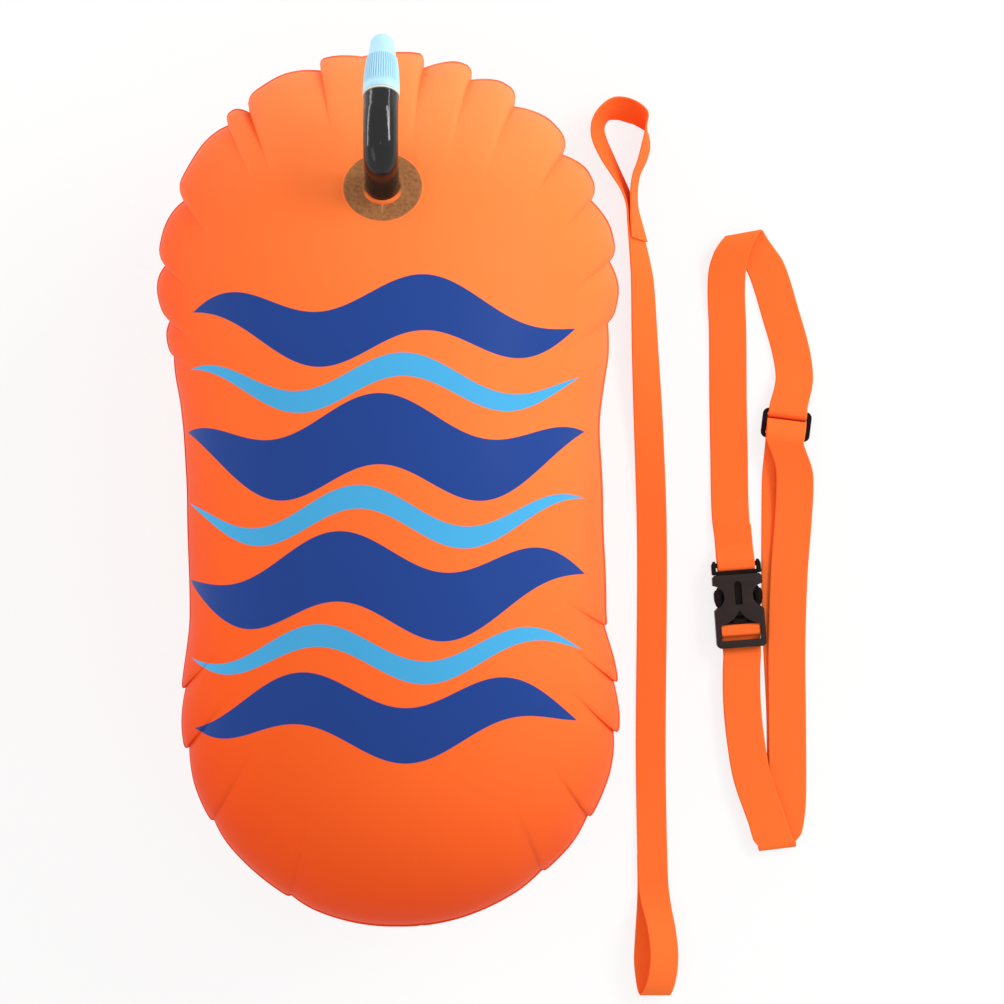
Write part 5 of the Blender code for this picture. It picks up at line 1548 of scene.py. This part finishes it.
class BUOY_OT_valve(bpy.types.Operator):
    """Bent tube, valve body and seals, cream ring, and the light mouthpiece"""

    bl_idname = "buoy.valve"
    bl_label = "Valve"

    def execute(self, context):
        bag, valve, colours = sizes_of(context, "bag", "valve", "colours")
        shape = BagShape(bag, valve.flange_radius)
        seat = shape.valve_seat
        tube, head = self.tube(valve, seat, bag.film)
        ring = self.ring(head)
        cap = self.mouthpiece(valve, head)
        rubber_finish("tube_rubber", colours.tube, 0.07, 0.0010).put_on(tube)
        moulded_finish("cream_plastic", colours.ring, CREAM_DRIFT_COLOUR, 0.38).put_on(ring)
        grip_finish(colours, head, valve.grip_ribs).put_on(cap)
        moulded_finish("valve_body_plastic", colours.ring, CREAM_DRIFT_COLOUR, 0.38).put_on(
            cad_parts["valve_body"]
        )
        rubber_finish("seal_rubber", colours.rubber, 0.45, 0.0002).put_on(
            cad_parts["stem_seal_ring"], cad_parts["sealing_plug"]
        )
        for piece, body, node, slot in (
            (tube, "bag", "valve_tube", "tube_black"),
            (ring, "lifting_ring", "slip_ring", "body_cream"),
            (cap, "cap", "mouthpiece", "light_blue"),
        ):
            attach(piece, body)
            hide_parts(node)
        return {"FINISHED"}

    def tube(self, valve, seat, film):
        """A Bezier curve with a round section, given its wall, with the flange under the film."""
        foot = seat @ Vector((0, 0, -film - GAP - FLANGE_THICKNESS))
        off_film = (seat.to_3x3() @ Vector((0, 0, 1))).normalized()
        middle = seat.translation
        crown = Vector((0, middle.y + CROWN_FORWARD, middle.z + CROWN_HEIGHT))
        mouth = Vector((0, middle.y + MOUTH_FORWARD, middle.z + MOUTH_HEIGHT))
        mouth_way = Vector((0, math.cos(MOUTH_SLOPE), -math.sin(MOUTH_SLOPE)))
        route = (
            (foot, off_film, ELBOW_HANDLE, ELBOW_HANDLE),
            (foot + off_film * TUBE_RISER, off_film, ELBOW_HANDLE, ELBOW_HANDLE),
            (crown, Vector((0, 1, 0)), ELBOW_HANDLE, CROWN_HANDLE),
            (mouth - mouth_way * NECK_LENGTH, mouth_way, NECK_HANDLE, NECK_HANDLE),
            (mouth, mouth_way, NECK_HANDLE, NECK_HANDLE),
        )
        curve = bpy.data.curves.new("valve_tube_route", "CURVE")
        curve.dimensions = "3D"
        curve.bevel_depth = valve.tube_radius
        curve.bevel_resolution = 22
        curve.resolution_u = 16
        spline = curve.splines.new("BEZIER")
        spline.bezier_points.add(len(route) - 1)
        for point, (place, way, reach_back, reach_on) in zip(spline.bezier_points, route):
            point.handle_left_type = "FREE"
            point.handle_right_type = "FREE"
            point.co = place
            point.handle_left = place - way * reach_back
            point.handle_right = place + way * reach_on
        tube = bpy.data.objects.new("valve_tube_moulding", curve)
        bpy.context.scene.collection.objects.link(tube)
        choose(tube)
        bpy.ops.object.convert(target="MESH")
        tube = bpy.context.object
        give_wall(tube, valve.tube_wall)
        inner = valve.tube_radius - valve.tube_wall / 2
        top = -film - GAP
        profile = [
            (inner, top),
            (valve.flange_radius, top),
            (valve.flange_radius, top - FLANGE_THICKNESS),
            (inner, top - FLANGE_THICKNESS),
        ]
        flange = turned("valve_flange", rounded(profile, 0.0003), TURN_STEPS)
        apply_place(flange, seat)
        tube = join([tube, flange], "valve_tube_moulding")
        edges = tube.modifiers.new("mouth_edges", "BEVEL")
        edges.width = 0.0005
        edges.segments = 3
        edges.limit_method = "ANGLE"
        edges.angle_limit = math.radians(60)
        apply_modifiers(tube)
        shade(tube, 45)
        head = Matrix.Translation(mouth) @ Matrix.Rotation(-math.pi / 2 - MOUTH_SLOPE, 4, "X")
        return tube, head

    def ring(self, head):
        bore = STEM_RADIUS + GAP
        rim_bore = BODY_FLANGE_RADIUS + GAP
        profile = [
            (bore, GAP + RING_HEIGHT + HUB_HEIGHT),
            (HUB_RADIUS, GAP + RING_HEIGHT + HUB_HEIGHT),
            (HUB_RADIUS, GAP + RING_HEIGHT),
            (HEAD_RADIUS, GAP + RING_HEIGHT),
            (HEAD_RADIUS, GAP),
            (rim_bore, GAP),
            (rim_bore, BODY_FLANGE_HEIGHT + 2 * GAP),
            (bore, BODY_FLANGE_HEIGHT + 2 * GAP),
        ]
        ring = turned("lifting_ring_moulding", rounded(profile, 0.0003), TURN_STEPS)
        apply_place(ring, head)
        shade(ring, 42)
        return ring

    def mouthpiece(self, valve, head):
        """Smooth band, ribbed grip and tapered lip. Every other pair of corners of the grip is drawn in."""
        length = valve.mouthpiece_length
        bottom = 2 * GAP + RING_HEIGHT
        hub_top = bottom + HUB_HEIGHT
        band_top = bottom + BAND_HEIGHT
        grip_top = band_top + GRIP_LENGTH
        bore = STEM_RADIUS + 2 * GAP
        hub_bore = HUB_RADIUS + GAP
        throat_low = STEM_HEIGHT + GAP + PLUG_REACH - PLUG_CONE + GAP
        chamber = PLUG_RADIUS + 4 * GAP + PLUG_CONE / 2
        outer = [
            (0.0034, length),
            (0.0048, length),
            (0.0056, length - 0.0006),
            (0.0071, length - 0.0030),
            (0.0075, length - 0.0062),
            (0.0081, grip_top + 0.0034),
            (0.0083, grip_top + 0.0010),
            (0.0084, grip_top + 0.0002),
            (0.0090, grip_top - 0.0004),
            (0.0094, grip_top - 0.0012),
            (0.0097, grip_top - 0.0040),
            (0.0102, grip_top - 0.0080),
            (BAND_RADIUS, band_top + 0.0030),
            (HEAD_RADIUS, band_top + 0.0006),
            (BAND_RADIUS, band_top + 0.0001),
            (BAND_RADIUS, band_top - 0.0004),
            (HEAD_RADIUS, band_top - 0.0009),
            (HEAD_RADIUS, bottom + 0.0004),
            (0.0106, bottom),
        ]
        inner = [
            (hub_bore, bottom),
            (hub_bore, hub_top),
            (bore, hub_top),
            (bore, STEM_HEIGHT + GAP),
            (chamber, STEM_HEIGHT + PLUG_CONE),
            (chamber, throat_low),
            (0.0026, throat_low + 0.0032),
            (0.0034, throat_low + 0.0060),
        ]
        steps = valve.grip_ribs * 4
        cap = turned("mouthpiece_moulding", outer + inner, steps)
        for corner in cap.data.vertices:
            out = math.hypot(corner.co.x, corner.co.y)
            number = round(math.atan2(corner.co.y, corner.co.x) / (2 * math.pi) * steps) % 4
            on_grip = band_top + 0.0004 < corner.co.z < grip_top - 0.0006 and out > 0.0088
            if on_grip and number in (0, 3):
                corner.co.x *= 1 - GROOVE_DEPTH / out
                corner.co.y *= 1 - GROOVE_DEPTH / out
        apply_place(cap, head)
        shade(cap, 38)
        return cap


class BUOY_OT_leash(bpy.types.Operator):
    """Towing leash: webbing folded back to a loop at each end, where it is sewn; the stitches are not drawn
    """

    bl_idname = "buoy.leash"
    bl_label = "Leash"

    def execute(self, context):
        webbing, colours = sizes_of(context, "webbing", "colours")
        width, thickness = webbing.leash_width, webbing.leash_thickness
        leash = strap("leash_webbing", leash_stations(width, thickness, 6), width, thickness)
        webbing_finish(colours, webbing, width).put_on(leash)
        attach(leash, "leash")
        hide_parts("leash_strap")
        return {"FINISHED"}


class BUOY_OT_belt(bpy.types.Operator):
    """Waist belt: one length of webbing from the plug to the adjuster, made in separate lengths"""

    bl_idname = "buoy.belt"
    bl_label = "Belt"

    def execute(self, context):
        webbing, colours = sizes_of(context, "webbing", "colours")
        finish = webbing_finish(colours, webbing, webbing.belt_width)
        for name, stations in belt_pieces(6):
            piece = strap(name, stations, webbing.belt_width, BELT_THICKNESS, belt_spread)
            finish.put_on(piece)
            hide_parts("belt_strap")
            if name == "belt_plug_end":
                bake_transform(piece)
            elif name == "belt_adjuster_entry":
                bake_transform(piece)
            elif name in ("belt_adjuster_exit", "belt_sewn_end"):
                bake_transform(piece)
            else:
                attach(piece, "belt")
        return {"FINISHED"}


class BUOY_OT_buckle(bpy.types.Operator):
    """Side release buckle and strap adjuster, moulded in dark plastic"""

    bl_idname = "buoy.buckle"
    bl_label = "Buckle and adjuster"

    def pad_shade_webs(self, piece):
        """Thin webs of the socket's back plate under both arms, which close the openings beside them; dark
        with painted shade, they stand in for the arms' thick pads and the shade under them.
        """
        choose(piece)
        bpy.ops.object.mode_set(mode="EDIT")
        across, along, height = WEB_PLACE
        for side in (-1, 1):
            middle = BUCKLE_FRAME @ Vector((side * across, along, height))
            bpy.ops.mesh.select_all(action="DESELECT")
            bpy.ops.mesh.primitive_cylinder_add(
                vertices=40,
                radius=WEB_HALF_LENGTH,
                depth=WEB_THICKNESS,
                location=middle,
                rotation=BUCKLE_FRAME.to_euler(),
            )
            narrower = (WEB_WIDTH_SHARE, 1, 1)
            bpy.ops.transform.resize(value=narrower, orient_type="LOCAL", center_override=middle)
        bpy.ops.object.mode_set(mode="OBJECT")

    def execute(self, context):
        buckle, colours = sizes_of(context, "buckle", "colours")
        # Painted shade: the arms and the adjuster are dark all over
        shaded = buckle_finish("shaded_plastic", colours, 0.0)
        plug_plastic = buckle_finish("plug_plastic", colours, PLUG_TOP_HALF_WIDTH)
        socket_plastic = buckle_finish("socket_plastic", colours, WHOLE_WIDTH)
        for node, name, body, finish in (
            ("buckle_socket", "buckle_socket_moulding", "belt", socket_plastic),
            ("buckle_plug", "buckle_plug_moulding", "plug", plug_plastic),
            ("buckle_arm_left", "buckle_arm_left_moulding", "left_arm", shaded),
            ("buckle_arm_right", "buckle_arm_right_moulding", "right_arm", shaded),
            ("strap_adjuster", "strap_adjuster_moulding", "adjuster", shaded),
        ):
            piece = detailed_copy(node, name, buckle.edge)
            if node == "buckle_socket":
                self.pad_shade_webs(piece)
            finish.put_on(piece)
            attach(piece, body)
            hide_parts(node)
        return {"FINISHED"}


class BUOY_OT_stage(bpy.types.Operator):
    """Pale floor, soft studio light and the camera straight above"""

    bl_idname = "buoy.stage"
    bl_label = "Stage"

    def execute(self, context):
        scene = context.scene
        stage, colours = sizes_of(context, "stage", "colours")
        deselect()
        bpy.ops.mesh.primitive_plane_add(size=FLOOR_SIZE, location=(0, 0, -FLOOR_DROP))
        floor = context.object
        floor.name = "floor"
        self.floor_finish(colours).put_on(floor)
        lamps = (
            ("key_lamp", (1.75, 1.05, 1.35), LAMP_AIM, 0, 1.6, 0.5, stage.key),
            ("fill_lamp", (-1.9, -0.9, 1.6), LAMP_AIM, 0, 1.4, 0.9, stage.key * 0.15),
            ("left_strip", (-1.7, 1.20, 0.18), (0, 1.20, 0.18), 0, 2.0, 0.36, stage.strips * 5.4),
            ("right_strip", (1.6, 1.38, 0.82), (0, 1.38, 0.82), -28, 2.1, 0.18, stage.strips * 4.6),
            ("spark_lamp", (0.02, 0.10, 2.15), LAMP_AIM, 0, 0.06, 0.06, stage.strips * 0.3),
        )
        for name, place, aim_at, roll, wide, high, power in lamps:
            data = bpy.data.lights.new(name, "AREA")
            data.shape = "RECTANGLE"
            data.size = wide
            data.size_y = high
            data.energy = power
            lamp = bpy.data.objects.new(name, data)
            lamp.location = place
            aim = Vector(aim_at) - Vector(place)
            turn = Matrix.Rotation(math.radians(roll), 3, "Z")
            lamp.rotation_euler = (aim.to_track_quat("-Z", "Y").to_matrix() @ turn).to_euler()
            scene.collection.objects.link(lamp)
        world = bpy.data.worlds.new("even_light")
        world.use_nodes = True
        background = world.node_tree.nodes["Background"]
        background.inputs["Color"].default_value = (1, 1, 1, 1)
        background.inputs["Strength"].default_value = stage.world
        scene.world = world
        data = bpy.data.cameras.new("camera")
        data.lens = stage.lens
        data.sensor_width = 36
        camera = bpy.data.objects.new("camera", data)
        camera.location = (*CAMERA_PLACE, stage.camera_height)
        scene.collection.objects.link(camera)
        scene.camera = camera
        scene.view_settings.view_transform = "Standard"
        return {"FINISHED"}

    def floor_finish(self, colours):
        finish = Finish("floor_white")
        finish.set(Base_Color=tuple(colours.floor), Roughness=0.9)
        nodes = finish.tree.nodes
        path = finish.node("ShaderNodeLightPath", output="Is Camera Ray").socket.node
        seen = Value(finish, path.outputs["Is Camera Ray"])
        for kind in ("Is Glossy Ray", "Is Transmission Ray"):
            seen = seen.most(Value(finish, path.outputs[kind]))
        glow = finish.node("ShaderNodeEmission", inputs={"Color": (1, 1, 1, 1), "Strength": 1.0})
        blend = nodes.new("ShaderNodeMixShader")
        finish.feed(blend.inputs[0], seen * 0.80)
        finish.tree.links.new(finish.shader.outputs[0], blend.inputs[1])
        finish.tree.links.new(glow.socket, blend.inputs[2])
        finish.tree.links.new(blend.outputs[0], nodes["Material Output"].inputs["Surface"])
        return finish


STEPS = (
    BUOY_OT_stage,
    BUOY_OT_front_film,
    BUOY_OT_back_film,
    BUOY_OT_tow_point,
    BUOY_OT_valve,
    BUOY_OT_leash,
    BUOY_OT_belt,
    BUOY_OT_buckle,
)


class BUOY_PT_panel(bpy.types.Panel):
    """Sizes, colours and steps of the swim buoy"""

    bl_idname = "BUOY_PT_panel"
    bl_label = "Swim Buoy"
    bl_space_type = "VIEW_3D"
    bl_region_type = "UI"
    bl_category = "Swim Buoy"

    def draw(self, context):
        layout = self.layout
        for title, name, kind in GROUPS:
            box = layout.box()
            box.label(text=title)
            for size in kind.__annotations__:
                box.prop(getattr(context.scene, name), size)
        for step in STEPS:
            layout.operator(step.bl_idname)


GROUPS = (
    ("Bag", "buoy_bag", BagSizes),
    ("Valve", "buoy_valve", ValveSizes),
    ("Webbing", "buoy_webbing", WebbingSizes),
    ("Buckle", "buoy_buckle", BuckleSizes),
    ("Colours", "buoy_colours", Colours),
    ("Stage", "buoy_stage", StageSizes),
)


def register():
    for _, name, group in GROUPS:
        bpy.utils.register_class(group)
        setattr(bpy.types.Scene, name, PointerProperty(type=group))
    for step in STEPS:
        bpy.utils.register_class(step)
    bpy.utils.register_class(BUOY_PT_panel)


def unregister():
    bpy.utils.unregister_class(BUOY_PT_panel)
    for step in reversed(STEPS):
        bpy.utils.unregister_class(step)
    for _, name, group in reversed(GROUPS):
        delattr(bpy.types.Scene, name)
        bpy.utils.unregister_class(group)


def main():
    register()
    for step in STEPS:
        group, name = step.bl_idname.split(".")
        getattr(getattr(bpy.ops, group), name)()


if __name__ == "__main__":
    main()
